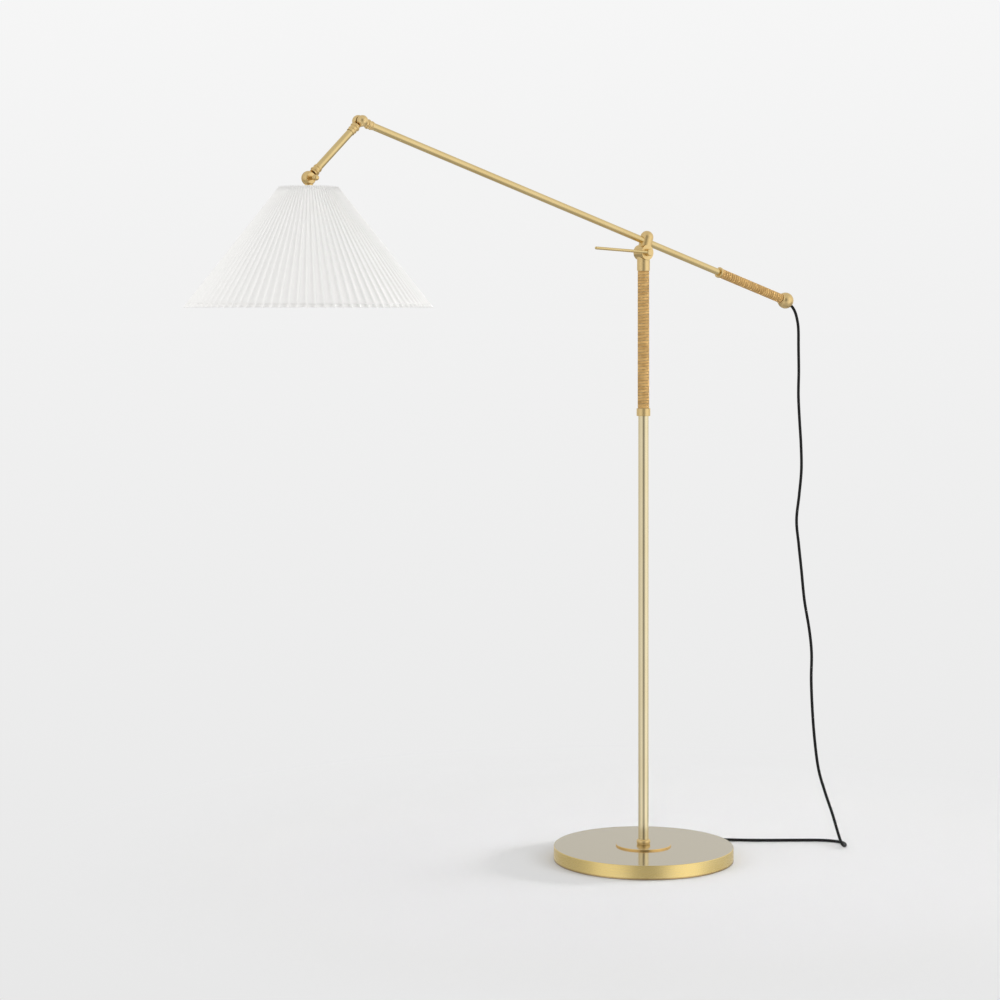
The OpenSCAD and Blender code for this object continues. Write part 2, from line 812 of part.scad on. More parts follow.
// Sharp-edged pleats that narrow towards the top: a crest and a valley for each
module pleated_cover() {
    n = 2 * pleats;
    lean = 0.36;
    function ring_points(z, skin) = [
        for (i = [0 : n - 1])
            let (valley = i % 2, a = (floor(i / 2) + lean * valley) * 360 / pleats,
                 r = cover_r(z) - valley * pleat_at(z) - skin)
                [r * cos(a), r * sin(a), z]
    ];
    function band(a0, b0) = [
        for (i = [0 : n - 1]) let (j = (i + 1) % n) each [
            [a0 + i, b0 + i, a0 + j],
            [a0 + j, b0 + i, b0 + j]
        ]
    ];
    points = concat(
        ring_points(shade_low_z, 0), ring_points(shade_top_z, 0),
        ring_points(shade_top_z, cover_skin), ring_points(shade_low_z, cover_skin)
    );
    color([0.98, 0.98, 0.97]) on_shade() polyhedron(
        points = points,
        faces = concat(band(0, n), band(n, 2 * n), band(2 * n, 3 * n), band(3 * n, 0)),
        convexity = 10
    );
}

// Narrow tape laid round the crests of the pleats
module tape(z, h) {
    on_shade() rotate_extrude($fn = 96) polygon([
        [cover_r(z) + 0.1, z],
        [cover_r(z) + 0.6, z],
        [cover_r(z + h) + 0.6, z + h],
        [cover_r(z + h) + 0.1, z + h]
    ]);
}

module top_binding() {
    color([0.98, 0.98, 0.97]) tape(shade_top_z - 4, 3);
}

module bottom_binding() {
    color([0.98, 0.98, 0.97]) tape(shade_low_z + 4.5, 3);
}

module bottom_ring() {
    z = shade_low_z + 6;
    r = liner_r(z) - liner_t - wire_r - 0.9;
    color([0.90, 0.90, 0.88]) on_shade() translate([0, 0, z])
        rotate_extrude($fn = 96) translate([r, 0]) circle(r = wire_r, $fn = 24);
}

/* ---------- wiring ---------- */

// Where the cord begins, just clear of the bushing's tip
cord_start = [clamp_x, 0, clamp_z] + ball_reach * [cos(boom_slope), 0, -sin(boom_slope)]
    + (bushing_tip + 0.4) * [cos(boom_slope + exit_turn), 0, -sin(boom_slope + exit_turn)];

function behind(s, d) = [
    s * cos(coil_turn) - d * sin(coil_turn),
    s * sin(coil_turn) + d * cos(coil_turn)
];
coil_start = concat(behind(0, coil_dist - coil_out_r), [coil_z]);
coil_lead_in = concat(behind(6, coil_dist - coil_out_r), [coil_z]);
coil_approach = concat(behind(20, coil_dist - coil_out_r + 0.6), [3.3]);

module cord_drop() {
    middle = smooth(concat(cord_route, [coil_approach]), 2);
    path = concat([cord_start], middle, [coil_lead_in, coil_start]);
    color([0.03, 0.03, 0.03]) tube_along(path, cord_r, cord_sides, [0, 1, 0]);
}

function ease(f) = let (c = min(1, max(0, f))) c * c * (3 - 2 * c);

// One flat spiral inwards, a climb over it and a short run out to the plug
coil_path = concat(
    [
        for (i = [0 : coil_rings * 3])
            let (turn = i / coil_rings,
                 r_in = coil_out_r - coil_pitch * min(turn, coil_in_turns),
                 r = r_in + (coil_out_r - 5 - r_in) * ease((turn - coil_in_turns) * 4),
                 z = coil_z + coil_layer * ease((turn - coil_in_turns + 0.25) * 4),
                 a = -90 - 360 * turn)
                [r * cos(a), r * sin(a), z]
    ],
    [[-9, -35, 9.8], [-20, -35, 9.9], [-31, -35, 9.4], [-42, -35.2, 8.6], [-53, -36.4, 8.1],
     [-60.4, -38.4, 8], [-66, -40.8, 8]]
);

module coil_frame() {
    translate(concat(behind(0, coil_dist), [0])) rotate(coil_turn) children();
}

module cord_coil() {
    n = len(coil_path);
    apart = round(coil_rings / 2);
    least = min([for (i = [0 : n - 1 - apart], j = [i + apart : n - 1]) norm(coil_path[i] - coil_path[j])]);
    echo(str("cord coil: least gap to itself ", least - cord_d, " mm"));
    color([0.03, 0.03, 0.03]) coil_frame() tube_along(coil_path, cord_r, 6, [0, 0, 1]);
}

// Strap round the turns of the coil, on the side nearest the base
module cord_tie() {
    w = 26;
    h = 7.6;
    color([0.06, 0.06, 0.06]) coil_frame() rotate(-160) translate([18.5, -4, 0]) difference() {
        cube([w, 8, h]);
        translate([tie_t, -1, tie_t]) cube([w - 2 * tie_t, 10, h - 2 * tie_t]);
    }
}

module plug_frame() {
    coil_frame() translate([-66, -40.8, plug_z]) rotate(plug_turn) children();
}

module cord_plug() {
    color([0.04, 0.04, 0.04]) plug_frame() {
        rotate([0, 90, 0]) cylinder(r1 = 3.4, r2 = 5, h = 20.5);
        translate([20, -8, -6.5]) cube([10, 16, 13]);
        translate([28, -12, -7.5]) cube([20, 24, 15]);
    }
}

module plug_blades() {
    color([0.80, 0.80, 0.78]) plug_frame() for (s = [-1, 1])
        translate([48, s * 6.35 - 0.75, -3.2]) cube([17, 1.5, 6.4]);
}

base_pad();
base_weight();
base_cover();
base_nut();
base_washer();
tie_rod();
base_flange();
foot_collar();
pole_insert();
pole_tube();
lower_ferrule();
pole_wrap();
head_collar();
draw_bolt();
draw_nut();
cord_drop();
cord_coil();
cord_tie();
cord_plug();
plug_blades();
boom_head();
boom_grub_screw();
boom_tube();
handle_collar();
handle_sleeve();
handle_wrap();
end_ball();
cord_bushing();
boom_lead();
boom_ferrule();
elbow_boom_half();
elbow_bolt();
elbow_washer();
clamp_shaft();
lever_rod();
rear_nut();
elbow_arm_half();
arm_upper_ferrule();
arm_tube();
arm_lead();
arm_lower_ferrule();
shade_joint_cup();
shade_joint_stem();
stem_nipple();
shade_spider();
spider_nut();
lampholder_cap();
lampholder_shell();
lampholder_core();
bulb_glass();
bulb_base();
shade_liner();
pleated_cover();
top_binding();
bottom_binding();
bottom_ring();
thumb_screw();
switch_key();
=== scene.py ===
"""Looks of a brass bridge floor lamp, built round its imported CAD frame.

The lamp has a round weighted base, a pole with a cane grip, a long boom that tilts in
a lever clamp, a cane-bound handle with an end ball, an elbow, a short arm and a white
pleated shade. A black braided cord leaves the end ball.
"""

import json
import logging
import math
from collections.abc import Sequence
from dataclasses import dataclass
from enum import Enum
from functools import cache
from itertools import accumulate

import bmesh
import bpy
from mathutils import Matrix, Vector


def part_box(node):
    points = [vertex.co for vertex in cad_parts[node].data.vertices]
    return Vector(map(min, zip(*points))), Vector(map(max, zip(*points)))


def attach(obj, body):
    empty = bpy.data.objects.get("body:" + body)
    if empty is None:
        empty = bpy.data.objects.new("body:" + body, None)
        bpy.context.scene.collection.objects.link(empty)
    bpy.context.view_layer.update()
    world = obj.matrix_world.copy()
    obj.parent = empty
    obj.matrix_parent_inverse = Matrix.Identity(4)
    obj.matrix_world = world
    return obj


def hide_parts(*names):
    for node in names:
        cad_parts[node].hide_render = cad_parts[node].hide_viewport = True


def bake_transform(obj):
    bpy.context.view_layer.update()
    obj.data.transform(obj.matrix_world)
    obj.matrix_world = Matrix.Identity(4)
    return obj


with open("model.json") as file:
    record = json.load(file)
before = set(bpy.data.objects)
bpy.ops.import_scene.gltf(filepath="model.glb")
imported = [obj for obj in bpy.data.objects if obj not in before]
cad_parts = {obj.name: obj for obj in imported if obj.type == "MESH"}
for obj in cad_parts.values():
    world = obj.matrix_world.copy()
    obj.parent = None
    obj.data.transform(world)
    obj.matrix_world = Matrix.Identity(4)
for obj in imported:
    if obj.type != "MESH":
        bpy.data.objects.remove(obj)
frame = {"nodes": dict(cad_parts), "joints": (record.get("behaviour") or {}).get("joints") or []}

LOG = logging.getLogger("bridge_lamp")
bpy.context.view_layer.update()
MM = 0.001

Number = float | int
Colour = tuple[float, float, float]
Point = tuple[float, float, float]
Tree, Node, Socket = bpy.types.NodeTree, bpy.types.Node, bpy.types.NodeSocket
Piece, Mesh = bpy.types.Object, bpy.types.Mesh

FLOAT = "NodeSocketFloat"
INTEGER = "NodeSocketInt"
VECTOR = "NodeSocketVector"
GEOMETRY = "NodeSocketGeometry"
MATERIAL = "NodeSocketMaterial"


class Body(Enum):
    """The moving bodies that new pieces ride on."""

    ROOT = "root"
    BOOM = "boom"
    SHADE = "shade"


class Slot(Enum):
    """The record's material slots for the cane, the cord and the pleated fabric."""

    CANE = "cane"
    CORD = "black_cord"
    FABRIC = "pleated_fabric"


# ---- node trees


@dataclass(frozen=True)
class Value:
    """One result in a node tree; arithmetic extends the tree with Math nodes."""

    tree: Tree
    socket: Socket | float

    def apply(self, operation: str, *others: "Value | Number") -> "Value":
        """Returns a Math node's result for self and the other operands."""
        return result(self.tree, "ShaderNodeMath", self, *others, operation=operation)

    def __add__(self, other: "Value | Number") -> "Value":
        """Returns self + other."""
        return self.apply("ADD", other)

    def __sub__(self, other: "Value | Number") -> "Value":
        """Returns self - other."""
        return self.apply("SUBTRACT", other)

    def __rsub__(self, other: Number) -> "Value":
        """Returns other - self."""
        return Value(self.tree, other).apply("SUBTRACT", self)

    def __mul__(self, other: "Value | Number") -> "Value":
        """Returns self times other."""
        return self.apply("MULTIPLY", other)

    def __truediv__(self, other: "Value | Number") -> "Value":
        """Returns self divided by other."""
        return self.apply("DIVIDE", other)

    def within(self, low: Number, high: Number) -> "Value":
        """Returns self, kept from low to high."""
        return self.apply("MAXIMUM", low).apply("MINIMUM", high)

    def between(self, low: Number, high: Number) -> "Value":
        """Returns a smooth step from 0 at low to 1 at high."""
        ends = {"Value": self, "From_Min": low, "From_Max": high}
        return result(
            self.tree, "ShaderNodeMapRange", **ends, interpolation_type="SMOOTHSTEP"
        )

    def mix(self, low: "Value | Number", high: "Value | Number") -> "Value":
        """Returns low where self is 0 and high where it is 1."""
        return result(self.tree, "ShaderNodeMix", Factor=self, A=low, B=high)

    def wave(self) -> "Value":
        """Returns a row of humps from 0 to 1, one for each whole step of self."""
        return (self * math.pi).apply("SINE").apply("ABSOLUTE")

    def split(self) -> "list[Value]":
        """Returns a vector's three parts."""
        parts = add_node(self.tree, "ShaderNodeSeparateXYZ", self)
        return [Value(self.tree, part) for part in parts.outputs]

    def noise(self, scale: float, detail: float, rough: float = 0.5) -> "Value":
        """Returns a noise texture's value at this place."""
        look = {"Scale": scale, "Detail": detail, "Roughness": rough}
        return result(self.tree, "ShaderNodeTexNoise", Vector=self, **look)

    def tint(self, low: "Value | Colour", high: "Value | Colour") -> "Value":
        """Mixes two colours.

        Args:
            low: the colour where self is 0.
            high: the colour where it is 1.

        Returns:
            The mixed colour.
        """
        node = add_node(self.tree, "ShaderNodeMix", Factor=self, data_type="RGBA")
        for colour, name in ((low, "A"), (high, "B")):
            target = next(s for s in node.inputs if s.name == name and s.type == "RGBA")
            plug(self.tree, (*colour, 1.0) if isinstance(colour, tuple) else colour, target)
        return Value(self.tree, next(s for s in node.outputs if s.type == "RGBA"))

    def curve(self, points: Sequence[tuple[float, float]]) -> "Value":
        """Looks self, from 0 to 1, up in a drawn curve.

        Args:
            points: the curve's points; their heights may pass 1.

        Returns:
            The curve's height there.
        """
        node = add_node(self.tree, "ShaderNodeFloatCurve", Value=self)
        highest = max(height for _, height in points)
        curve = node.mapping.curves[0]
        while len(curve.points) < len(points):
            curve.points.new(0.5, 0.5)
        for point, (along, height) in zip(curve.points, points):
            point.location = (along, height / highest)
        node.mapping.update()
        return Value(self.tree, node.outputs[0]) * highest


def plug(tree: Tree, source: "Value | Socket | Number | Sequence[float]", target: Socket) -> None:
    """Links a value or socket to an input, or sets a constant there."""
    if isinstance(source, Value):
        source = source.socket
    if isinstance(source, Socket):
        tree.links.new(source, target)
    else:
        target.default_value = source


def add_node(tree: Tree, kind: str, *operands: object, **named: object) -> Node:
    """Adds a node with its settings and inputs.

    Args:
        tree: the tree to extend.
        kind: the node's class name.
        operands: its first inputs, in their order.
        named: its settings, in small letters, and inputs, with _ for each space.

    Returns:
        The new node.
    """
    node = tree.nodes.new(kind)
    for name, value in named.items():
        if name.islower():
            setattr(node, name, value)
    inputs = {k.replace("_", " "): v for k, v in named.items() if not k.islower()}
    for key, value in (*enumerate(operands), *inputs.items()):
        plug(tree, value, node.inputs[key])
    return node


def result(tree: Tree, kind: str, *operands: object, **named: object) -> Value:
    """Adds a node as add_node does, and returns its first output."""
    return Value(tree, add_node(tree, kind, *operands, **named).outputs[0])


def join(tree: Tree, *parts: Value) -> Value:
    """Returns the vector of two or three parts."""
    return result(tree, "ShaderNodeCombineXYZ", *parts)


def new_group(
    name: str, tree_type: str, inputs: dict[str, str], outputs: dict[str, str]
) -> tuple[Tree, dict[str, Value], Node]:
    """Makes a node group with named sockets.

    Args:
        name: the group's name.
        tree_type: ShaderNodeTree or GeometryNodeTree.
        inputs: each input's socket type by its name.
        outputs: each output's socket type by its name.

    Returns:
        The tree, its inputs by name and its output node.
    """
    tree = bpy.data.node_groups.new(name, tree_type)
    for way, sockets in (("INPUT", inputs), ("OUTPUT", outputs)):
        for label, kind in sockets.items():
            tree.interface.new_socket(label, in_out=way, socket_type=kind)
    entry = tree.nodes.new("NodeGroupInput")
    values = {s.name: Value(tree, s) for s in entry.outputs if s.name}
    return tree, values, tree.nodes.new("NodeGroupOutput")


@cache
def grain_group() -> Tree:
    """Builds stretched and fine noise, for brushed, cast or moulded surfaces.

    Returns:
        A group with Lines, Cloud and Specks between 0 and 1.
    """
    tree, inputs, out = new_group(
        "surface_grain",
        "ShaderNodeTree",
        {"Vector": VECTOR, "Stretch": VECTOR},
        {"Lines": FLOAT, "Cloud": FLOAT, "Specks": FLOAT},
    )
    place = inputs["Vector"]
    stretched = result(
        tree, "ShaderNodeVectorMath", place, inputs["Stretch"], operation="MULTIPLY"
    )
    plug(tree, stretched.noise(1.0, 2.0, 0.6), out.inputs["Lines"])
    plug(tree, place.noise(9.0, 3.0, 0.55), out.inputs["Cloud"])
    plug(tree, place.noise(620.0, 2.0), out.inputs["Specks"])
    return tree


# ---- finishes


@dataclass(frozen=True)
class Finish:
    """Any finish: a name and the material that its dress method builds."""

    name: str

    @cache
    def material(self) -> bpy.types.Material:
        """Returns the finish's material, built the first time it is asked for."""
        made = bpy.data.materials.new(self.name)
        made.use_nodes = True
        shader = next(n for n in made.node_tree.nodes if n.type == "BSDF_PRINCIPLED")
        self.dress(made.node_tree, shader)
        return made

    def dress(self, tree: Tree, shader: Node) -> None:
        """Adds the finish's nodes to the material's tree, before its Principled shader."""
        raise NotImplementedError

    @staticmethod
    def space(tree: Tree, kind: str = "Object") -> Value:
        """Returns the piece's own coordinates, its UV map or the world's directions."""
        return Value(tree, add_node(tree, "ShaderNodeTexCoord").outputs[kind])

    def grain(self, tree: Tree, stretch: Point = (900.0, 900.0, 30.0)) -> list[Value]:
        """Returns the grain's lines, which stretch makes fine, its cloud and its specks."""
        inputs = {"Vector": self.space(tree), "Stretch": stretch}
        group = add_node(tree, "ShaderNodeGroup", **inputs, node_tree=grain_group())
        return [Value(tree, socket) for socket in group.outputs]

    @staticmethod
    def paint(
        tree: Tree,
        shader: Node,
        tone: Value,
        colours: tuple[Value | Colour, Colour],
        rough: Value,
        height: Value | None = None,
        depth: float = 0.0,
        **constants: object,
    ) -> None:
        """Sets the shader's colour, roughness, relief and constant inputs.

        Args:
            tree: the material's tree.
            shader: the shader to set.
            tone: 0 for the first colour and 1 for the second.
            colours: the two colours.
            rough: the roughness.
            height: the relief, between 0 and 1.
            depth: the height of a relief of 1, in metres.
            constants: other inputs, with _ for each space in their names.
        """
        plug(tree, tone.tint(*colours), shader.inputs["Base Color"])
        plug(tree, rough, shader.inputs["Roughness"])
        if height is not None:
            bump = result(tree, "ShaderNodeBump", Height=height, Distance=depth)
            plug(tree, bump, shader.inputs["Normal"])
        for name, value in constants.items():
            shader.inputs[name.replace("_", " ")].default_value = value


@dataclass(frozen=True)
class MetalFinish(Finish):
    """Brushed, plated or cast metal with fine grain and slow changes of tone."""

    colour: Colour
    dark: Colour
    roughness: float
    stretch: Point = (900.0, 900.0, 40.0)
    line_depth: float = 0.000004
    line_rough: float = 0.08
    edge_tint: Colour = (1.0, 0.97, 0.90)

    def dress(self, tree: Tree, shader: Node) -> None:
        """Adds grain to the colour, roughness and surface."""
        lines, cloud, _ = self.grain(tree, self.stretch)
        tone = cloud.between(0.35, 0.65) * 0.55 + lines * 0.45
        rough = (lines - 0.5) * (2 * self.line_rough) + self.roughness
        self.paint(
            tree, shader, tone, (self.dark, self.colour), rough, lines, self.line_depth,
            Metallic=1.0, Specular_Tint=(*self.edge_tint, 1.0),
        )


@dataclass(frozen=True)
class BasePlateFinish(MetalFinish):
    """Base cover brass: a paler, duller top, its colour a painted reflection, over a golden side
    band.
    """

    # The flat top's paler colour is a painted grazing reflection; top_z and top_blend place it.
    top_reflection_colour: Colour = (0.63, 0.585, 0.49)
    top_z: float = 0.0256
    top_blend: float = 0.0003
    top_rough: float = 0.13
    # The next three set a painted contact shadow darkening the cover's foot.
    contact_shadow_colour: Colour = (0.47, 0.34, 0.17)
    contact_shadow_z: float = 0.0042
    contact_shadow_blend: float = 0.0022

    def dress(self, tree: Tree, shader: Node) -> None:
        """Adds grain, painted contact shadow on the lower rim, then the top's painted reflection
        and roughness.
        """
        super().dress(tree, shader)
        z = self.space(tree).split()[2]
        # Paler top: a painted reflection of the pale room at a grazing angle.
        top = z.between(self.top_z, self.top_z + self.top_blend)
        # Darker towards the lower edge: a painted contact shadow where the cover meets the floor.
        rim = z.between(self.contact_shadow_z, self.contact_shadow_z - self.contact_shadow_blend)
        colour, rough = (
            Value(tree, shader.inputs[name].links[0].from_socket)
            for name in ("Base Color", "Roughness")
        )
        side = rim.tint(colour, self.contact_shadow_colour)
        self.paint(tree, shader, top, (side, self.top_reflection_colour), top.mix(rough, self.top_rough))


@dataclass(frozen=True)
class CaneFinish(Finish):
    """Varnished split cane, whose tone changes from turn to turn and along the fibre."""

    light: Colour
    dark: Colour
    # Colour of the painted shade in the gaps between turns, laid on the strand's edges.
    gap_shade: Colour
    patches_along: float = 2.6
    patches_across: float = 0.35
    fibres_along: float = 9.0
    fibres_across: float = 16.0
    fibre_depth: float = 0.00006

    def dress(self, tree: Tree, shader: Node) -> None:
        """Adds turns, fibres and edges darkened with painted gap shade, from the strand's own map.
        """
        strand = add_node(tree, "ShaderNodeAttribute", attribute_name="strand")
        along, across, _ = Value(tree, strand.outputs["Vector"]).split()
        patch = join(tree, along * self.patches_along, across * self.patches_across)
        fibre = join(tree, along * self.fibres_along, across * self.fibres_across)
        patch, fibre = patch.noise(1.0, 3.0, 0.65), fibre.noise(1.0, 2.0, 0.6)
        tone = patch.between(0.30, 0.68) * 0.72 + fibre * 0.28
        body = tone.tint(self.dark, self.light)
        # The strand's edges darken towards the gap colour: painted shade between turns.
        edge = (across - 0.5).apply("ABSOLUTE").between(0.30, 0.5)
        self.paint(
            tree, shader, edge * 0.75, (body, self.gap_shade), fibre * 0.22 + 0.40,
            fibre, self.fibre_depth, Specular_IOR_Level=0.35,
        )


@dataclass(frozen=True)
class FabricFinish(Finish):
    """Plain woven cloth with a soft sheen."""

    colour: Colour
    # Darker tone for random patches, and painted shade where the threads dip.
    shade: Colour
    threads: float = 2600.0
    slant_ratio: float = 0.195
    thread_depth: float = 0.00002

    def dress(self, tree: Tree, shader: Node) -> None:
        """Adds over-and-under relief of two sets of threads, uneven tone and painted shade in dips.
        """
        u, v, _ = self.space(tree, "UV").split()
        along, across = u * self.threads, v * self.slant_ratio * self.threads
        checker = (along.apply("FLOOR") + across.apply("FLOOR")) * 0.5
        over = (checker.apply("FRACT") * 2.0).between(0.4, 0.6)
        height = over.mix(along.wave(), across.wave())
        # The tone varies at random and darkens a little where the threads dip: painted shade
        # between threads.
        tone = self.space(tree).noise(26.0, 3.0) * 0.8 + height * 0.2
        self.paint(
            tree, shader, tone, (self.shade, self.colour), height * -0.12 + 0.92,
            height, self.thread_depth, Sheen_Weight=0.12, Sheen_Roughness=0.5,
        )


@dataclass(frozen=True)
class BraidFinish(Finish):
    """Black braided sleeve, whose strands cross at a slant round the cord."""

    colour: Colour
    glint: Colour
    carriers: float = 8.0
    pitch: float = 0.011
    strand_depth: float = 0.00022

    def dress(self, tree: Tree, shader: Node) -> None:
        """Adds crossing strands from the cord's own map: u round it, v metres along."""
        u, v, _ = self.space(tree, "UV").split()
        around, along = u * self.carriers, v * (self.carriers / self.pitch)
        height = (around + along).wave().apply("MAXIMUM", (around - along).wave())
        self.paint(
            tree, shader, height.between(0.75, 1.0), (self.colour, self.glint),
            height * -0.18 + 0.68, height, self.strand_depth, Specular_IOR_Level=0.2,
        )


@dataclass(frozen=True)
class MouldedFinish(Finish):
    """Moulded plastic, enamel, felt or board with a faint texture."""

    colour: Colour
    roughness: float
    speck_depth: float = 0.00002

    def dress(self, tree: Tree, shader: Node) -> None:
        """Adds fine specks and slow changes of gloss."""
        _, cloud, specks = self.grain(tree)
        deeper = tuple(0.86 * c for c in self.colour)
        self.paint(
            tree, shader, cloud * 0.5 + specks * 0.5, (deeper, self.colour),
            (cloud - 0.5) * 0.2 + self.roughness, specks, self.speck_depth,
        )


@dataclass(frozen=True)
class FrostedGlassFinish(Finish):
    """Bulb glass, frosted on the inside."""

    colour: Colour
    roughness: float

    def dress(self, tree: Tree, shader: Node) -> None:
        """Adds a milky glass with a slightly uneven frost."""
        _, cloud, specks = self.grain(tree)
        pale = tuple(0.97 * c for c in self.colour)
        self.paint(
            tree, shader, cloud, (pale, self.colour), specks * 0.1 + self.roughness,
            Transmission_Weight=0.35, IOR=1.46,
        )


BRASS = MetalFinish("brass_turned", (0.86, 0.65, 0.325), (0.77, 0.555, 0.24), 0.33)
BRASS_TUBE = MetalFinish(
    "brass_pole", (0.86, 0.75, 0.50), (0.81, 0.69, 0.43), 0.16, (1100.0, 1100.0, 22.0)
)
BRASS_BOOM = MetalFinish(
    "brass_boom", (0.80, 0.625, 0.315), (0.72, 0.545, 0.25), 0.2, (22.0, 1100.0, 1100.0)
)
BRASS_BASE = BasePlateFinish(
    "brass_base", (0.92, 0.73, 0.34), (0.82, 0.62, 0.24), 0.26, (26.0, 26.0, 1500.0)
)
BRASS_FLANGE = BasePlateFinish(
    "brass_flange", (0.86, 0.60, 0.27), (0.78, 0.52, 0.20), 0.14, top_z=0.0287
)
ZINC = MetalFinish("zinc_plate", (0.66, 0.66, 0.67), (0.55, 0.55, 0.57), 0.34)
CAST_IRON = MetalFinish(
    "iron_casting", (0.14, 0.14, 0.15), (0.09, 0.09, 0.10), 0.62, (260.0, 260.0, 260.0), 0.0002
)
DARK_FIBRE = MouldedFinish("dark_fibre", (0.10, 0.075, 0.05), 0.6)
CANE = CaneFinish("split_cane", (0.76, 0.48, 0.175), (0.41, 0.225, 0.062), (0.15, 0.078, 0.022))
COTTON = FabricFinish("pleated_cotton", (0.95, 0.942, 0.925), (0.92, 0.912, 0.895))
FELT = MouldedFinish("black_felt", (0.035, 0.035, 0.035), 0.95, 0.0003)
LINING = MouldedFinish("white_lining", (0.92, 0.91, 0.89), 0.55)
BLACK_BRAID = BraidFinish("black_braid", (0.004, 0.004, 0.004), (0.012, 0.012, 0.012))
BLACK_PLASTIC = MouldedFinish("plastic_black", (0.016, 0.016, 0.016), 0.42)
LEAD = MouldedFinish("lead_sheath", (0.70, 0.67, 0.58), 0.45)
WHITE_ENAMEL = MouldedFinish("white_enamel", (0.86, 0.85, 0.82), 0.3)
BULB_GLASS = FrostedGlassFinish("frosted_glass", (0.93, 0.92, 0.89), 0.5)
BULB_METAL = MetalFinish(
    "bulb_thread", (0.74, 0.74, 0.75), (0.62, 0.62, 0.63), 0.3, (120.0, 120.0, 1700.0), 0.0004
)

NODE_FINISHES: dict[Finish, tuple[str, ...]] = {
    BRASS_BASE: ("base_cover",),
    BRASS_FLANGE: ("base_flange",),
    BRASS_TUBE: ("pole_tube",),
    BRASS_BOOM: ("boom_tube", "arm_tube", "handle_sleeve", "lever_rod"),
    BRASS: (
        "draw_bolt", "foot_collar", "lower_ferrule", "head_collar", "boom_head",
        "handle_collar", "end_ball", "boom_ferrule", "elbow_boom_half", "elbow_bolt",
        "clamp_shaft", "rear_nut", "elbow_arm_half", "arm_upper_ferrule",
        "arm_lower_ferrule", "shade_joint_cup", "shade_joint_stem", "thumb_screw",
        "lampholder_cap", "lampholder_shell",
    ),
    ZINC: (
        "base_nut", "base_washer", "tie_rod", "pole_insert", "draw_nut",
        "boom_grub_screw", "stem_nipple", "spider_nut", "plug_blades",
    ),
    CAST_IRON: ("base_weight",),
    FELT: ("base_pad",),
    DARK_FIBRE: ("elbow_washer",),
    BLACK_PLASTIC: ("cord_tie", "cord_plug", "cord_bushing", "switch_key", "lampholder_core"),
    LEAD: ("boom_lead", "arm_lead"),
    WHITE_ENAMEL: ("shade_spider", "bottom_ring"),
    BULB_GLASS: ("bulb_glass",),
    BULB_METAL: ("bulb_base",),
    LINING: ("shade_liner",),
}


# ---- making pieces


def link_object(name: str, data: Mesh | bpy.types.Camera | bpy.types.Light) -> Piece:
    """Puts a mesh, a camera or a light in the scene under a name."""
    piece = bpy.data.objects.new(name, data)
    bpy.context.scene.collection.objects.link(piece)
    return piece


def store(geometry: Value, name: str, value: Value, kind: str, domain: str = "POINT") -> Value:
    """Returns the geometry with a value stored on it, as a kind of data on a domain."""
    inputs = {"Geometry": geometry, "Name": name, "Value": value}
    settings = {"data_type": kind, "domain": domain}
    return result(geometry.tree, "GeometryNodeStoreNamedAttribute", **settings, **inputs)


def end_tree(geometry: Value, material: Value, out: Node) -> None:
    """Ends a geometry tree with smooth shading, real geometry and its material."""
    tree = geometry.tree
    for kind in ("GeometryNodeSetShadeSmooth", "GeometryNodeRealizeInstances"):
        geometry = result(tree, kind, Geometry=geometry)
    dressed = result(tree, "GeometryNodeSetMaterial", Geometry=geometry, Material=material)
    plug(tree, dressed, out.inputs["Geometry"])


def grow(name: str, tree: Tree, sizes: dict[str, object], place: Matrix) -> Piece:
    """Runs a geometry tree once and keeps its result as a plain mesh.

    Args:
        name: the piece's name.
        tree: the geometry tree.
        sizes: values of all the tree's inputs by name.
        place: where the result goes in the lamp's frame.

    Returns:
        The finished object, with no modifier on it.
    """
    seed = link_object(f"{name}_seed", bpy.data.meshes.new(f"{name}_seed"))
    modifier = seed.modifiers.new("grow", "NODES")
    modifier.node_group = tree
    for item in tree.interface.items_tree:
        if item.in_out == "INPUT":
            modifier[item.identifier] = sizes[item.name]
    graph = bpy.context.evaluated_depsgraph_get()
    graph.update()
    mesh = bpy.data.meshes.new_from_object(
        seed.evaluated_get(graph), preserve_all_data_layers=True, depsgraph=graph
    )
    seed.modifiers.clear()
    bpy.data.objects.remove(seed)
    mesh.name = name
    mesh.transform(place)
    return link_object(name, mesh)


def close_and_face_out(mesh: Mesh, distance: float = 1e-6) -> None:
    """Merges points nearer than a distance in metres, and turns all faces outwards."""
    work = bmesh.new()
    work.from_mesh(mesh)
    bmesh.ops.remove_doubles(work, verts=work.verts, dist=distance)
    bmesh.ops.recalc_face_normals(work, faces=work.faces)
    work.to_mesh(mesh)
    work.free()


def ring_faces(here: int, ahead: int, count: int) -> list[tuple[int, ...]]:
    """Returns the faces between two numbered rings of count points each."""
    faces = []
    for k in range(count):
        n = (k + 1) % count
        faces.append((here * count + k, here * count + n, ahead * count + n, ahead * count + k))
    return faces


# ---- cane grips


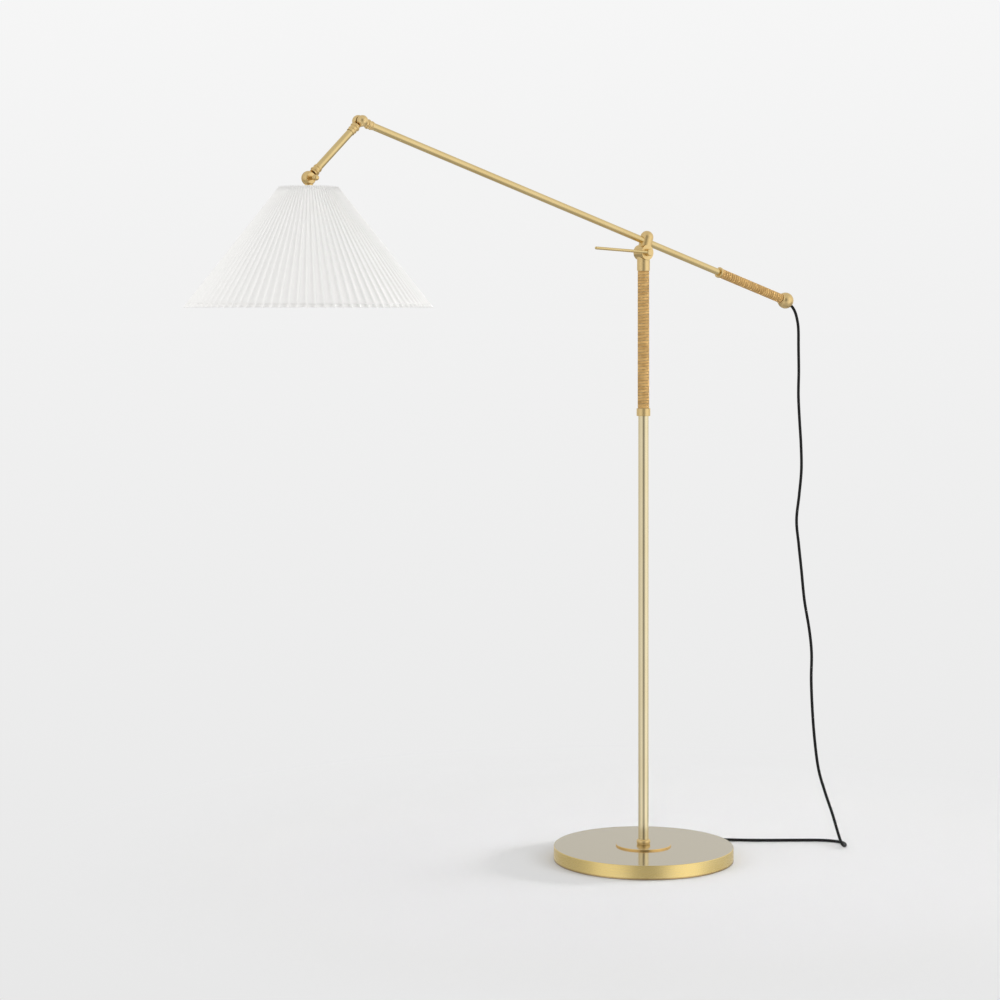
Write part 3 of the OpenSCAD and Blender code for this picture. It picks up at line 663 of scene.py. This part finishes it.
@dataclass(frozen=True)
class CaneGrip:
    """One cane strand wound on a tube."""

    name: str
    body: Body
    node: str
    place: Matrix
    core_radius: float
    length: float
    turns: int
    seed: int
    thickness: float = 1.15 * MM
    cover: float = 0.97
    wander: float = 0.22 * MM
    tuck: float = 0.35 * MM

    RING_POINTS = 10
    TURN_POINTS = 40
    SQUARENESS = 0.62
    WANDER_PACE = 0.9
    SEED_STEP = 7.3

    @classmethod
    @cache
    def tree(cls) -> Tree:
        """Builds the winding: a spiral with level ends that tuck in, swept with a strip.

        Returns:
            The geometry tree, built the first time it is asked for.
        """
        numbers = ("Turns", "Length", "Radius", "Width", "Thickness", "Wander", "Tuck")
        tree, inputs, out = new_group(
            "cane_winding",
            "GeometryNodeTree",
            {**dict.fromkeys(numbers, FLOAT), "Seed": INTEGER, "Material": MATERIAL},
            {"Geometry": GEOMETRY},
        )
        turns, length, radius = (inputs[name] for name in ("Turns", "Length", "Radius"))
        spiral = result(
            tree, "GeometryNodeCurveSpiral", Resolution=cls.TURN_POINTS, Rotations=turns,
            Start_Radius=radius, End_Radius=radius, Height=length, Reverse=True,
        )
        factor = result(tree, "GeometryNodeSplineParameter")
        turn = factor * turns
        left = turns - turn
        where = turn * cls.WANDER_PACE + inputs["Seed"] * cls.SEED_STEP
        drift = result(
            tree, "ShaderNodeTexNoise", W=where, Scale=1.0, Detail=2.0, noise_dimensions="1D"
        )
        rise = ((turn - 1.0) / (turns - 2.0)).within(0.0, 1.0)
        ends = turn.between(1.0, 2.0) * left.between(1.0, 2.0)
        sway = (drift - 0.5) * 2.0 * inputs["Wander"] * ends
        lift = (rise - factor) * length + sway
        tuck = 1.0 - turn.between(0.0, 1.0) * left.between(0.0, 1.0)
        shrink = tuck * inputs["Tuck"] * -1.0 / radius
        x, y, _ = result(tree, "GeometryNodeInputPosition").split()
        offset = join(tree, x * shrink, y * shrink, lift)
        moved = result(tree, "GeometryNodeSetPosition", Geometry=spiral, Offset=offset)
        upright = result(tree, "GeometryNodeSetCurveNormal", Curve=moved, mode="Z_UP")
        line = store(upright, "turn", turn, "FLOAT")
        section = cls.strip(tree, inputs["Thickness"], inputs["Width"])
        swept = result(
            tree, "GeometryNodeCurveToMesh", Curve=line, Profile_Curve=section, Fill_Caps=True
        )
        turn_back, ring_back = (
            result(tree, "GeometryNodeInputNamedAttribute", Name=name) for name in ("turn", "ring")
        )
        around = ring_back * math.tau
        across = around.apply("SINE") * 0.5 + 0.5
        strand = join(tree, turn_back, across, around.apply("COSINE"))
        end_tree(store(swept, "strand", strand, "FLOAT_VECTOR"), inputs["Material"], out)
        return tree

    @classmethod
    def strip(cls, tree: Tree, thickness: Value, width: Value) -> Value:
        """Draws the strand's section, a rounded box.

        Args:
            tree: the geometry tree.
            thickness: the strand's thickness.
            width: its width.

        Returns:
            The section's curve.
        """
        circle = result(
            tree, "GeometryNodeCurvePrimitiveCircle", Resolution=cls.RING_POINTS, Radius=0.5
        )
        ring = store(circle, "ring", result(tree, "GeometryNodeSplineParameter"), "FLOAT")
        place = result(tree, "GeometryNodeInputPosition").split()
        squared = []
        for part in (place[0] * 2.0, place[1] * 2.0):
            size = part.apply("ABSOLUTE").apply("POWER", cls.SQUARENESS)
            squared.append(size * part.apply("SIGN") * 0.5)
        shape = join(tree, squared[0] * thickness, squared[1] * width)
        return result(tree, "GeometryNodeSetPosition", Geometry=ring, Position=shape)

    def build(self) -> Piece:
        """Winds the cane and sets it on its tube.

        Returns:
            The finished grip.
        """
        pitch = self.length / (self.turns + 1)
        grip = grow(
            self.name,
            self.tree(),
            {
                "Turns": self.turns + 2.0,
                "Length": self.length - pitch,
                "Radius": self.core_radius + self.thickness / 2,
                "Width": pitch * self.cover,
                "Thickness": self.thickness,
                "Wander": self.wander,
                "Tuck": self.tuck,
                "Seed": self.seed,
                "Material": CANE.material(),
            },
            self.place @ Matrix.Translation((0.0, 0.0, pitch / 2)),
        )
        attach(grip, self.body.value)
        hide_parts(self.node)
        return grip


# ---- shade


@dataclass(frozen=True)
class PleatedShade:
    """The white knife-pleated cover with its narrow bands."""

    centre_x: float
    low_z: float
    bottom_radius: float = 206.5 * MM
    top_radius: float = 49.5 * MM
    height: float = 200.0 * MM
    pleats: int = 90
    points_per_pleat: int = 10
    rows: int = 30
    crowding: float = 1.7
    depth_bottom: float = 3.8 * MM
    depth_top: float = 2.2 * MM
    cloth: float = 0.45 * MM
    uneven_depth: float = 0.35
    uneven_crest: float = 0.6 * MM
    uneven_turn: float = 0.0022
    pressed_band: float = 0.30
    pressed_head: float = 0.35
    open_rim: float = 0.55
    hem_dip: float = 0.9 * MM
    band_low: float = 6.5 * MM
    band_high: float = 7.5 * MM
    tape: float = 0.4
    tape_steps: int = 384
    tape_swell: float = 0.08 * MM

    FOLD = (
        (0.0, 0.0), (0.04, 0.08), (0.12, 0.32), (0.26, 0.66), (0.44, 0.91), (0.64, 1.0),
        (0.72, 0.96), (0.80, 0.78), (0.94, 0.06), (1.0, 0.0),
    )
    TOP_BAND = (1.8 * MM, 0.5 * MM, 0.6)
    AHEAD = 0.0001

    def radius(self, above: float) -> float:
        """Returns the crests' radius at a height above the bottom edge."""
        return self.bottom_radius + (self.top_radius - self.bottom_radius) * above / self.height

    def tree(self) -> Tree:
        """Builds the cover: a grid rolled into a cone and folded into pleats.

        Returns:
            The geometry tree.
        """
        numbers = (
            "Pleats", "Bottom Radius", "Top Radius", "Height", "Bottom Depth", "Top Depth",
            "Band Height", "Seed",
        )
        kinds = {**dict.fromkeys(numbers, FLOAT), "Columns": INTEGER, "Rows": INTEGER}
        tree, inputs, out = new_group(
            "knife_pleats",
            "GeometryNodeTree",
            {**kinds, "Material": MATERIAL},
            {"Geometry": GEOMETRY},
        )
        grid = add_node(
            tree, "GeometryNodeMeshGrid", 1.0, 1.0, inputs["Columns"], inputs["Rows"]
        )
        x, y, _ = result(tree, "GeometryNodeInputPosition").split()
        around = x + 0.5
        share = (y + 0.5).apply("POWER", self.crowding)
        z = share * inputs["Height"]
        count = around * inputs["Pleats"]
        phase = (count + self.AHEAD).apply("FRACT")
        index = (count + self.AHEAD).apply("FLOOR").apply("MODULO", inputs["Pleats"])
        jitter = join(tree, index * 3.7 + inputs["Seed"], share * 1.6).noise(1.0, 1.0) - 0.5
        depth = share.mix(inputs["Bottom Depth"], inputs["Top Depth"])
        band = (z - inputs["Band Height"]).apply("ABSOLUTE").between(0.0, 0.0035)
        rim = z.between(0.0055, 0.0).mix(0.0, self.open_rim)
        head = (inputs["Height"] - z).between(0.0015, 0.009)
        pressed = (band.mix(self.pressed_band, 1.0) + rim) * head.mix(self.pressed_head, 1.0)
        sink = phase.curve(self.FOLD) * depth * pressed * (jitter * self.uneven_depth + 1.0)
        crest = share.mix(inputs["Bottom Radius"], inputs["Top Radius"])
        radius = crest - sink - jitter.apply("ABSOLUTE") * self.uneven_crest
        sway = jitter * self.uneven_turn * phase.apply("PINGPONG", 0.5)
        angle = around * math.tau + sway
        hem = (phase * math.pi).apply("SINE") * z.between(0.002, 0.0) * self.hem_dip
        place = join(
            tree, angle.apply("COSINE") * radius, angle.apply("SINE") * radius, z + hem
        )
        sheet, cloth_map = (Value(tree, grid.outputs[name]) for name in ("Mesh", "UV Map"))
        mapped = store(sheet, "UVMap", cloth_map, "FLOAT2", "CORNER")
        folded = result(tree, "GeometryNodeSetPosition", Geometry=mapped, Position=place)
        joined = result(tree, "GeometryNodeMergeByDistance", Geometry=folded, Distance=1e-6)
        end_tree(joined, inputs["Material"], out)
        return tree

    def build(self) -> Piece:
        """Folds the cover, gives the cloth its thickness and adds the bands.

        Returns:
            The finished cover.
        """
        cover = grow(
            "shade_pleats",
            self.tree(),
            {
                "Pleats": float(self.pleats),
                "Columns": self.pleats * self.points_per_pleat + 1,
                "Rows": self.rows,
                "Bottom Radius": self.bottom_radius,
                "Top Radius": self.top_radius,
                "Height": self.height,
                "Bottom Depth": self.depth_bottom,
                "Top Depth": self.depth_top,
                "Band Height": (self.band_low + self.band_high) / 2,
                "Seed": 3.0,
                "Material": COTTON.material(),
            },
            Matrix.Translation((self.centre_x, 0.0, self.low_z)),
        )
        self.thicken(cover)
        low, high, sunk = self.TOP_BAND
        bands = [
            self.band("shade_top_band", self.height - low, self.height - high, sunk),
            self.band("shade_bottom_band", self.band_low, self.band_high),
        ]
        for piece, node in zip((cover, *bands), ("pleated_cover", "top_binding", "bottom_binding")):
            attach(piece, Body.SHADE.value)
            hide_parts(node)
        return cover

    def thicken(self, cover: Piece) -> None:
        """Gives the cloth its thickness, inwards.

        Args:
            cover: the single-sided cover.
        """
        work = bmesh.new()
        work.from_mesh(cover.data)
        bmesh.ops.recalc_face_normals(work, faces=work.faces)
        face = work.faces[0]
        away = face.calc_center_median() - Vector((self.centre_x, 0.0, 0.0))
        away.z = 0.0
        if face.normal.dot(away) < 0:
            bmesh.ops.reverse_faces(work, faces=work.faces)
        bmesh.ops.solidify(work, geom=work.faces[:], thickness=self.cloth)
        work.to_mesh(cover.data)
        work.free()
        close_and_face_out(cover.data, 1e-7)

    def band(self, name: str, low: float, high: float, sunk: float = 0.0) -> Piece:
        """Lays a narrow tape round the crests, with a slight wave for each pleat.

        Args:
            name: the piece's name.
            low: its lower edge above the shade's bottom edge.
            high: its upper edge.
            sunk: how deep its face lies below the crests, in millimetres.

        Returns:
            The tape.
        """
        corners = ((low, -self.tape), (high, -self.tape), (high, 0.0), (low, 0.0))
        points, faces = [], []
        for step in range(self.tape_steps):
            angle = math.tau * step / self.tape_steps
            swell = self.tape_swell * math.cos(self.pleats * angle)
            for height, out in corners:
                reach = self.radius(height) + (out - sunk) * MM + swell
                points.append(
                    (reach * math.cos(angle), reach * math.sin(angle), self.low_z + height)
                )
            faces += ring_faces(step, (step + 1) % self.tape_steps, len(corners))
        mesh = bpy.data.meshes.new(name)
        mesh.from_pydata(points, [], faces)
        mesh.uv_layers.new(name="UVMap")
        close_and_face_out(mesh)
        mesh.transform(Matrix.Translation((self.centre_x, 0.0, 0.0)))
        mesh.materials.append(COTTON.material())
        return link_object(name, mesh)


# ---- cord


@dataclass(frozen=True)
class Cord:
    """The braided cord: its hang, its run along the floor and its coil."""

    start: Point
    diameter: float = 5.5 * MM
    sides: int = 14
    coil_turn: float = math.radians(-38.0)
    coil_distance: float = 210.75
    coil_radius: float = 40.0
    coil_inset: float = 5.0
    coil_pitch: float = 6.0
    coil_z: float = 3.65
    coil_layer: float = 6.0
    coil_turns: int = 3
    coil_points: int = 24
    coil_in_turns: float = 2.75
    coil_climb: float = 0.25

    ROUTE = (
        (384.6, 0, 1015), (388.5, 0, 1010.2), (391.2, 0, 1005.8), (393.6, -0.2, 1000),
        (396.1, -0.6, 991), (397.5, -1.5, 980.5), (397.2, -2.8, 969), (395.6, -4.6, 956),
        (393.6, -6.6, 943), (391.4, -9, 929), (386, -15, 891), (379, -21, 846),
        (374, -29, 799), (370, -37, 751), (364, -44, 704), (354, -48, 656),
        (343, -52, 609), (340, -61, 563), (337, -71, 516), (334, -82, 460),
        (334, -95, 405), (331, -104, 362), (323, -111, 313), (318, -119, 258),
        (315, -128, 203), (315, -138, 150), (321, -149, 108), (331, -158, 68),
        (340, -163, 34), (346, -164.5, 17), (354, -163, 7), (364, -158, 3.2),
        (375, -149, 2.9), (381, -136, 2.9), (379, -119, 2.9), (369, -102, 2.9),
        (350, -84, 2.9), (305, -50, 2.9), (262, -17, 2.9), (215, 28, 2.9),
        (174, 75, 2.9), (140, 107.5, 2.9),
    )
    LEAD_OUT = (
        (-9, -35, 9.8), (-20, -35, 9.9), (-31, -35, 9.4), (-42, -35.2, 8.6),
        (-53, -36.4, 8.1), (-60.4, -38.4, 8), (-66, -40.8, 8),
    )

    def behind(self, right: float, away: float, z: float) -> Vector:
        """Returns a place behind the base, in millimetres, from the coil's own axes."""
        c, s = math.cos(self.coil_turn), math.sin(self.coil_turn)
        return Vector((right * c - away * s, right * s + away * c, z))

    def ease(self, turns: float) -> float:
        """Returns a smooth step from 0 to 1 over the coil's climb."""
        share = min(1.0, max(0.0, turns / self.coil_climb))
        return share * share * (3 - 2 * share)

    def coil(self) -> list[Vector]:
        """Winds the coil: a flat spiral inwards, a climb and a run out over it.

        Returns:
            Points in millimetres.
        """
        points = []
        for ring in range(self.coil_points * self.coil_turns + 1):
            turn = ring / self.coil_points
            inner = self.coil_radius - self.coil_pitch * min(turn, self.coil_in_turns)
            late = turn - self.coil_in_turns
            radius = inner + (self.coil_radius - self.coil_inset - inner) * self.ease(late)
            z = self.coil_z + self.coil_layer * self.ease(late + self.coil_climb)
            angle = math.radians(-90 - 360 * turn)
            points.append((radius * math.cos(angle), radius * math.sin(angle), z))
        return [
            self.behind(x, y + self.coil_distance, z) for x, y, z in (*points, *self.LEAD_OUT)
        ]

    def path(self) -> list[Vector]:
        """Returns the whole centreline in metres, from the bushing to the plug."""
        reach = self.coil_distance - self.coil_radius
        route = [Vector(p) for p in self.ROUTE] + [self.behind(20, reach + 0.6, 3.3)]
        drop = [Vector(self.start) / MM, *smooth_line(route, 8)]
        drop += [self.behind(6, reach, self.coil_z)]
        return [p * MM for p in (*drop, *smooth_line(self.coil(), 3))]

    def build(self) -> None:
        path = even_spacing(self.path(), 2.6 * MM)
        length = distances(path)[-1]
        cord = link_object("cord", tube_mesh("cord", path, self.diameter / 2, self.sides))
        cord.data.materials.append(BLACK_BRAID.material())
        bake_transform(cord)
        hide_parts("cord_drop", "cord_coil")
        LOG.info("cord: %.3f m", length)


def distances(points: Sequence[Vector]) -> list[float]:
    """Returns how far along a line each of its points lies."""
    steps = ((b - a).length for a, b in zip(points, points[1:]))
    return list(accumulate(steps, initial=0.0))


def smooth_line(points: Sequence[Vector], steps: int) -> list[Vector]:
    """Draws a smooth curve through points.

    Args:
        points: the points it passes through.
        steps: parts between two of them.

    Returns:
        The curve's points, both ends included.
    """
    line = []
    last = len(points) - 1
    for i in range(last):
        a, b = points[max(i - 1, 0)], points[i]
        c, d = points[i + 1], points[min(i + 2, last)]
        bend, twist = 2 * a - 5 * b + 4 * c - d, 3 * b - a - 3 * c + d
        for t in (k / steps for k in range(steps)):
            line.append(0.5 * (2 * b + (c - a) * t + bend * t * t + twist * t**3))
    return [*line, points[last].copy()]


def even_spacing(points: Sequence[Vector], step: float) -> list[Vector]:
    """Respaces a line evenly.

    Args:
        points: the line's points.
        step: the distance between new points.

    Returns:
        Evenly spaced points, both ends included.
    """
    lengths = distances(points)
    count = max(2, round(lengths[-1] / step))
    line, at = [], 0
    for k in range(count + 1):
        want = lengths[-1] * k / count
        while at < len(points) - 2 and lengths[at + 1] < want:
            at += 1
        span = lengths[at + 1] - lengths[at]
        share = (want - lengths[at]) / span if span else 0.0
        line.append(points[at].lerp(points[at + 1], share))
    return line


def tube_mesh(name: str, path: Sequence[Vector], radius: float, sides: int) -> Mesh:
    """Sweeps a round tube along a path, with a map of u round it and v metres along.

    Args:
        name: the mesh's name.
        path: the centreline.
        radius: the tube's radius.
        sides: points round each ring.

    Returns:
        The closed tube.
    """
    last = len(path) - 1
    travelled = distances(path)
    side = Vector((0, 1, 0))
    points, faces, maps = [], [], []
    for i, centre in enumerate(path):
        way = (path[min(i + 1, last)] - path[max(i - 1, 0)]).normalized()
        side = (side - way * side.dot(way)).normalized()
        up = way.cross(side)
        for k in range(sides):
            angle = math.tau * k / sides
            points.append(centre + radius * (math.cos(angle) * side + math.sin(angle) * up))
    for i in range(last):
        faces += ring_faces(i, i + 1, sides)
        v0, v1 = travelled[i], travelled[i + 1]
        for k in range(sides):
            u0, u1 = k / sides, (k + 1) / sides
            maps += [(u0, v0), (u1, v0), (u1, v1), (u0, v1)]
    for first, order in ((0, -1), (last, 1)):
        ring = [first * sides + k for k in range(sides)]
        faces.append(tuple(ring[::order]))
        maps += [(0.0, travelled[first])] * sides
    mesh = bpy.data.meshes.new(name)
    mesh.from_pydata(points, [], faces)
    layer = mesh.uv_layers.new(name="UVMap")
    layer.data.foreach_set("uv", [x for pair in maps for x in pair])
    for face in mesh.polygons:
        face.use_smooth = len(face.vertices) == 4
    return mesh


# ---- studio


@dataclass(frozen=True)
class Softbox:
    """One soft light: its angle to the right of the camera, its place, size and power."""

    name: str
    turn: float
    height: float
    far: float
    width: float
    tall: float
    power: float
    aim: Point = (-0.15, 0.0, 0.75)
    spread: float = 180.0


@dataclass(frozen=True)
class Studio:
    """Floor, lights, surroundings and camera."""

    heading: float = math.radians(-38.0)
    camera_at: Point = (-2.980, -3.3855, 1.020)
    lens: float = 88.09
    sensor: float = 36.0
    shift_y: float = -0.195
    horizon_tone: float = 0.881
    sky_rise: float = 0.327
    sky_top: float = 0.16
    floor_radius: float = 90.0
    floor_gap: float = 0.4 * MM
    floor_fall: float = 0.2665
    floor_near: float = 4.5025
    floor_nearest: float = 2.5
    floor_fade: tuple[float, float] = (0.35, 1.15)
    floor_colour: Colour = (0.70, 0.70, 0.70)
    floor_lit: float = 0.792
    ambient: float = 0.70
    overhead: float = 0.85
    right_gain: float = 0.14
    dark_turn: float = math.radians(2.5)

    SOFTBOXES = (
        Softbox("key", 66.0, 2.2, 3.4, 1.2, 1.6, 34.0),
        Softbox("fill", -62.0, 1.9, 3.6, 1.5, 2.2, 26.0),
        Softbox("top", 150.0, 3.4, 1.8, 2.4, 1.6, 17.0),
        Softbox("skim", 104.0, 0.86, 5.0, 2.4, 0.9, 12.5, (0.0, 0.0, 0.05), 20.0),
    )
    AROUND = (
        (0.0, 0.27), (0.05, 0.28), (0.12, 0.62), (0.19, 0.84), (0.25, 0.94), (0.36, 0.98),
        (0.45, 0.90), (0.58, 0.82), (0.78, 0.80), (0.90, 0.74), (1.0, 0.68),
    )
    AROUND_LOW = (
        (0.0, 0.72), (0.06, 0.74), (0.14, 0.94), (0.25, 1.26), (0.34, 1.18), (0.46, 0.64),
        (0.60, 0.46), (1.0, 0.60),
    )
    UPWARD = (
        (0.0, 0.56), (0.22, 0.74), (0.36, 0.90), (0.45, 0.98), (0.55, 1.0), (0.78, 0.95),
        (0.93, 0.88), (1.0, 0.82),
    )

    def camera(self) -> None:
        """Sets the camera where the photograph was taken from."""
        data = bpy.data.cameras.new("camera")
        data.lens, data.sensor_width = self.lens, self.sensor
        data.shift_y = self.shift_y
        data.clip_end = 200.0
        camera = link_object("camera", data)
        camera.location = self.camera_at
        camera.rotation_euler = (math.pi / 2, 0.0, self.heading)
        bpy.context.scene.camera = camera

    def world(self) -> None:
        """Paints the surroundings: pale for the view, with soft boxes for reflections."""
        world = bpy.data.worlds.new("studio")
        world.use_nodes = True
        bpy.context.scene.world = world
        tree = world.node_tree
        tree.nodes.clear()
        x, y, z = Finish.space(tree, "Generated").split()
        reach = (x * x + y * y).apply("SQRT").apply("MAXIMUM", 0.001)
        middle = self.heading + self.dark_turn
        facing = (x * math.sin(middle) - y * math.cos(middle)) / reach
        turn = facing.within(-1.0, 1.0).apply("ARCCOSINE") / math.pi
        side = (x * math.cos(self.heading) + y * math.sin(self.heading)) / reach
        around = z.between(-0.14, -0.28).mix(turn.curve(self.AROUND), turn.curve(self.AROUND_LOW))
        around = around * (side * self.right_gain + 1.0)
        around = z.apply("ABSOLUTE").between(0.45, 0.8).mix(around, self.overhead)
        mirror_tone = around * (z * 0.5 + 0.5).curve(self.UPWARD)
        path = add_node(tree, "ShaderNodeLightPath")
        seen, glossy, through = (
            Value(tree, path.outputs[f"Is {kind} Ray"])
            for kind in ("Camera", "Glossy", "Transmission")
        )
        lit = glossy.apply("MAXIMUM", through).mix(self.ambient, mirror_tone)
        view_tone = z.within(0.0, self.sky_top) * self.sky_rise + self.horizon_tone
        strength = seen.mix(lit, view_tone)
        background = result(tree, "ShaderNodeBackground", (1.0, 1.0, 1.0, 1.0), strength)
        add_node(tree, "ShaderNodeOutputWorld", background)

    def floor(self) -> None:
        """Lays a pale floor that fades into the surroundings away from the lamp."""
        work = bmesh.new()
        bmesh.ops.create_circle(work, cap_ends=True, segments=96, radius=self.floor_radius)
        mesh = bpy.data.meshes.new("studio_floor")
        work.to_mesh(mesh)
        work.free()
        floor = link_object("studio_floor", mesh)
        floor.location.z = -self.floor_gap
        floor.visible_glossy = False
        material = bpy.data.materials.new("studio_floor")
        material.use_nodes = True
        tree = material.node_tree
        tree.nodes.clear()
        x, y, _ = Finish.space(tree).split()
        distance = (x * x + y * y).apply("SQRT")
        back = y * math.cos(self.heading) - x * math.sin(self.heading) + self.floor_near
        fall = Value(tree, self.floor_fall) / back.apply("MAXIMUM", self.floor_nearest)
        tone = self.horizon_tone - fall
        diffuse = result(tree, "ShaderNodeBsdfDiffuse", (*self.floor_colour, 1.0), 0.4)
        rest = (tone - self.floor_lit).apply("MAXIMUM", 0.0)
        lift, glow = (result(tree, "ShaderNodeEmission", Strength=s) for s in (rest, tone))
        near = result(tree, "ShaderNodeAddShader", diffuse, lift)
        far = distance.between(*self.floor_fade)
        add_node(
            tree, "ShaderNodeOutputMaterial", result(tree, "ShaderNodeMixShader", far, near, glow)
        )
        mesh.materials.append(material)

    def hang(self, softbox: Softbox) -> None:
        """Hangs one soft light that faces the lamp.

        Args:
            softbox: the light's place, size and power.
        """
        data = bpy.data.lights.new(softbox.name, "AREA")
        data.shape = "RECTANGLE"
        data.size, data.size_y = softbox.width, softbox.tall
        data.energy = softbox.power
        data.spread = math.radians(softbox.spread)
        light = link_object(softbox.name, data)
        angle = self.heading - math.pi / 2 + math.radians(softbox.turn)
        light.location = (
            softbox.far * math.cos(angle), softbox.far * math.sin(angle), softbox.height
        )
        aim = Vector(softbox.aim) - light.location
        light.rotation_euler = aim.to_track_quat("-Z", "Y").to_euler()
        light.visible_glossy = False

    def build(self) -> None:
        """Sets up everything that isn't the lamp."""
        self.camera()
        self.world()
        self.floor()
        for softbox in self.SOFTBOXES:
            self.hang(softbox)
        bpy.context.scene.view_settings.view_transform = "Standard"


# ---- the lamp


def joint_place(name: str) -> Vector:
    """Returns a joint's place at rest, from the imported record."""
    joint = next(j for j in frame["joints"] if j["name"] == name)
    return Vector(joint["pos_m"])


def dress_nodes() -> None:
    """Gives every carried-over CAD node its finish."""
    for finish, nodes in NODE_FINISHES.items():
        for node in nodes:
            materials = frame["nodes"][node].data.materials
            materials.clear()
            materials.append(finish.material())


@dataclass(frozen=True)
class Boom:
    """Places along the boom, measured from the clamp towards the handle."""

    slope: float = math.radians(16.77)
    rise: float = 21.0 * MM
    wrap_start: float = 194.0 * MM
    wrap_end: float = 360.1 * MM
    wrap_gap: float = 0.1 * MM
    ball: float = 374.7 * MM
    exit_turn: float = math.radians(16.2)
    exit_reach: float = 18.4 * MM

    def at(self, reach: float) -> Vector:
        """Returns the point on the boom's axis at a distance from the clamp."""
        pivot = joint_place("boom_tilt")
        clamp = pivot + self.rise * Vector((math.sin(self.slope), 0.0, math.cos(self.slope)))
        return clamp + reach * Vector((math.cos(self.slope), 0.0, -math.sin(self.slope)))

    def cord_start(self) -> Vector:
        """Returns where the cord leaves the end ball, turned down from the boom's axis."""
        turn = self.slope + self.exit_turn
        way = Vector((math.cos(turn), 0.0, -math.sin(turn)))
        return self.at(self.ball) + self.exit_reach * way

    def wrap(self) -> tuple[Matrix, float]:
        """Returns the handle's placement, whose Z axis runs down the boom, and its length."""
        start = self.at(self.wrap_start + self.wrap_gap)
        turn = Matrix.Rotation(math.pi / 2 + self.slope, 4, "Y")
        length = self.wrap_end - self.wrap_start - 2 * self.wrap_gap
        return Matrix.Translation(start) @ turn, length


def main() -> None:
    """Builds the studio and the lamp, piece by piece."""
    logging.basicConfig(level=logging.INFO, format="%(name)s: %(message)s")
    boom = Boom()
    Studio().build()
    Cord(start=tuple(boom.cord_start())).build()
    dress_nodes()
    handle, handle_length = boom.wrap()
    pole = Matrix.Translation((0.0, 0.0, 830.1 * MM))
    makers = (
        CaneGrip("pole_cane", Body.ROOT, "pole_wrap", pole, 9.55 * MM, 252.8 * MM, 47, seed=1),
        CaneGrip(
            "handle_cane", Body.BOOM, "handle_wrap", handle, 7.82 * MM, handle_length, 30, seed=2
        ),
        PleatedShade(joint_place("shade_tilt").x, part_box("pleated_cover")[0][2]),
    )
    for maker in makers:
        piece = maker.build()
        LOG.info("%s: %d faces", piece.name, len(piece.data.polygons))


if __name__ == "__main__":
    main()
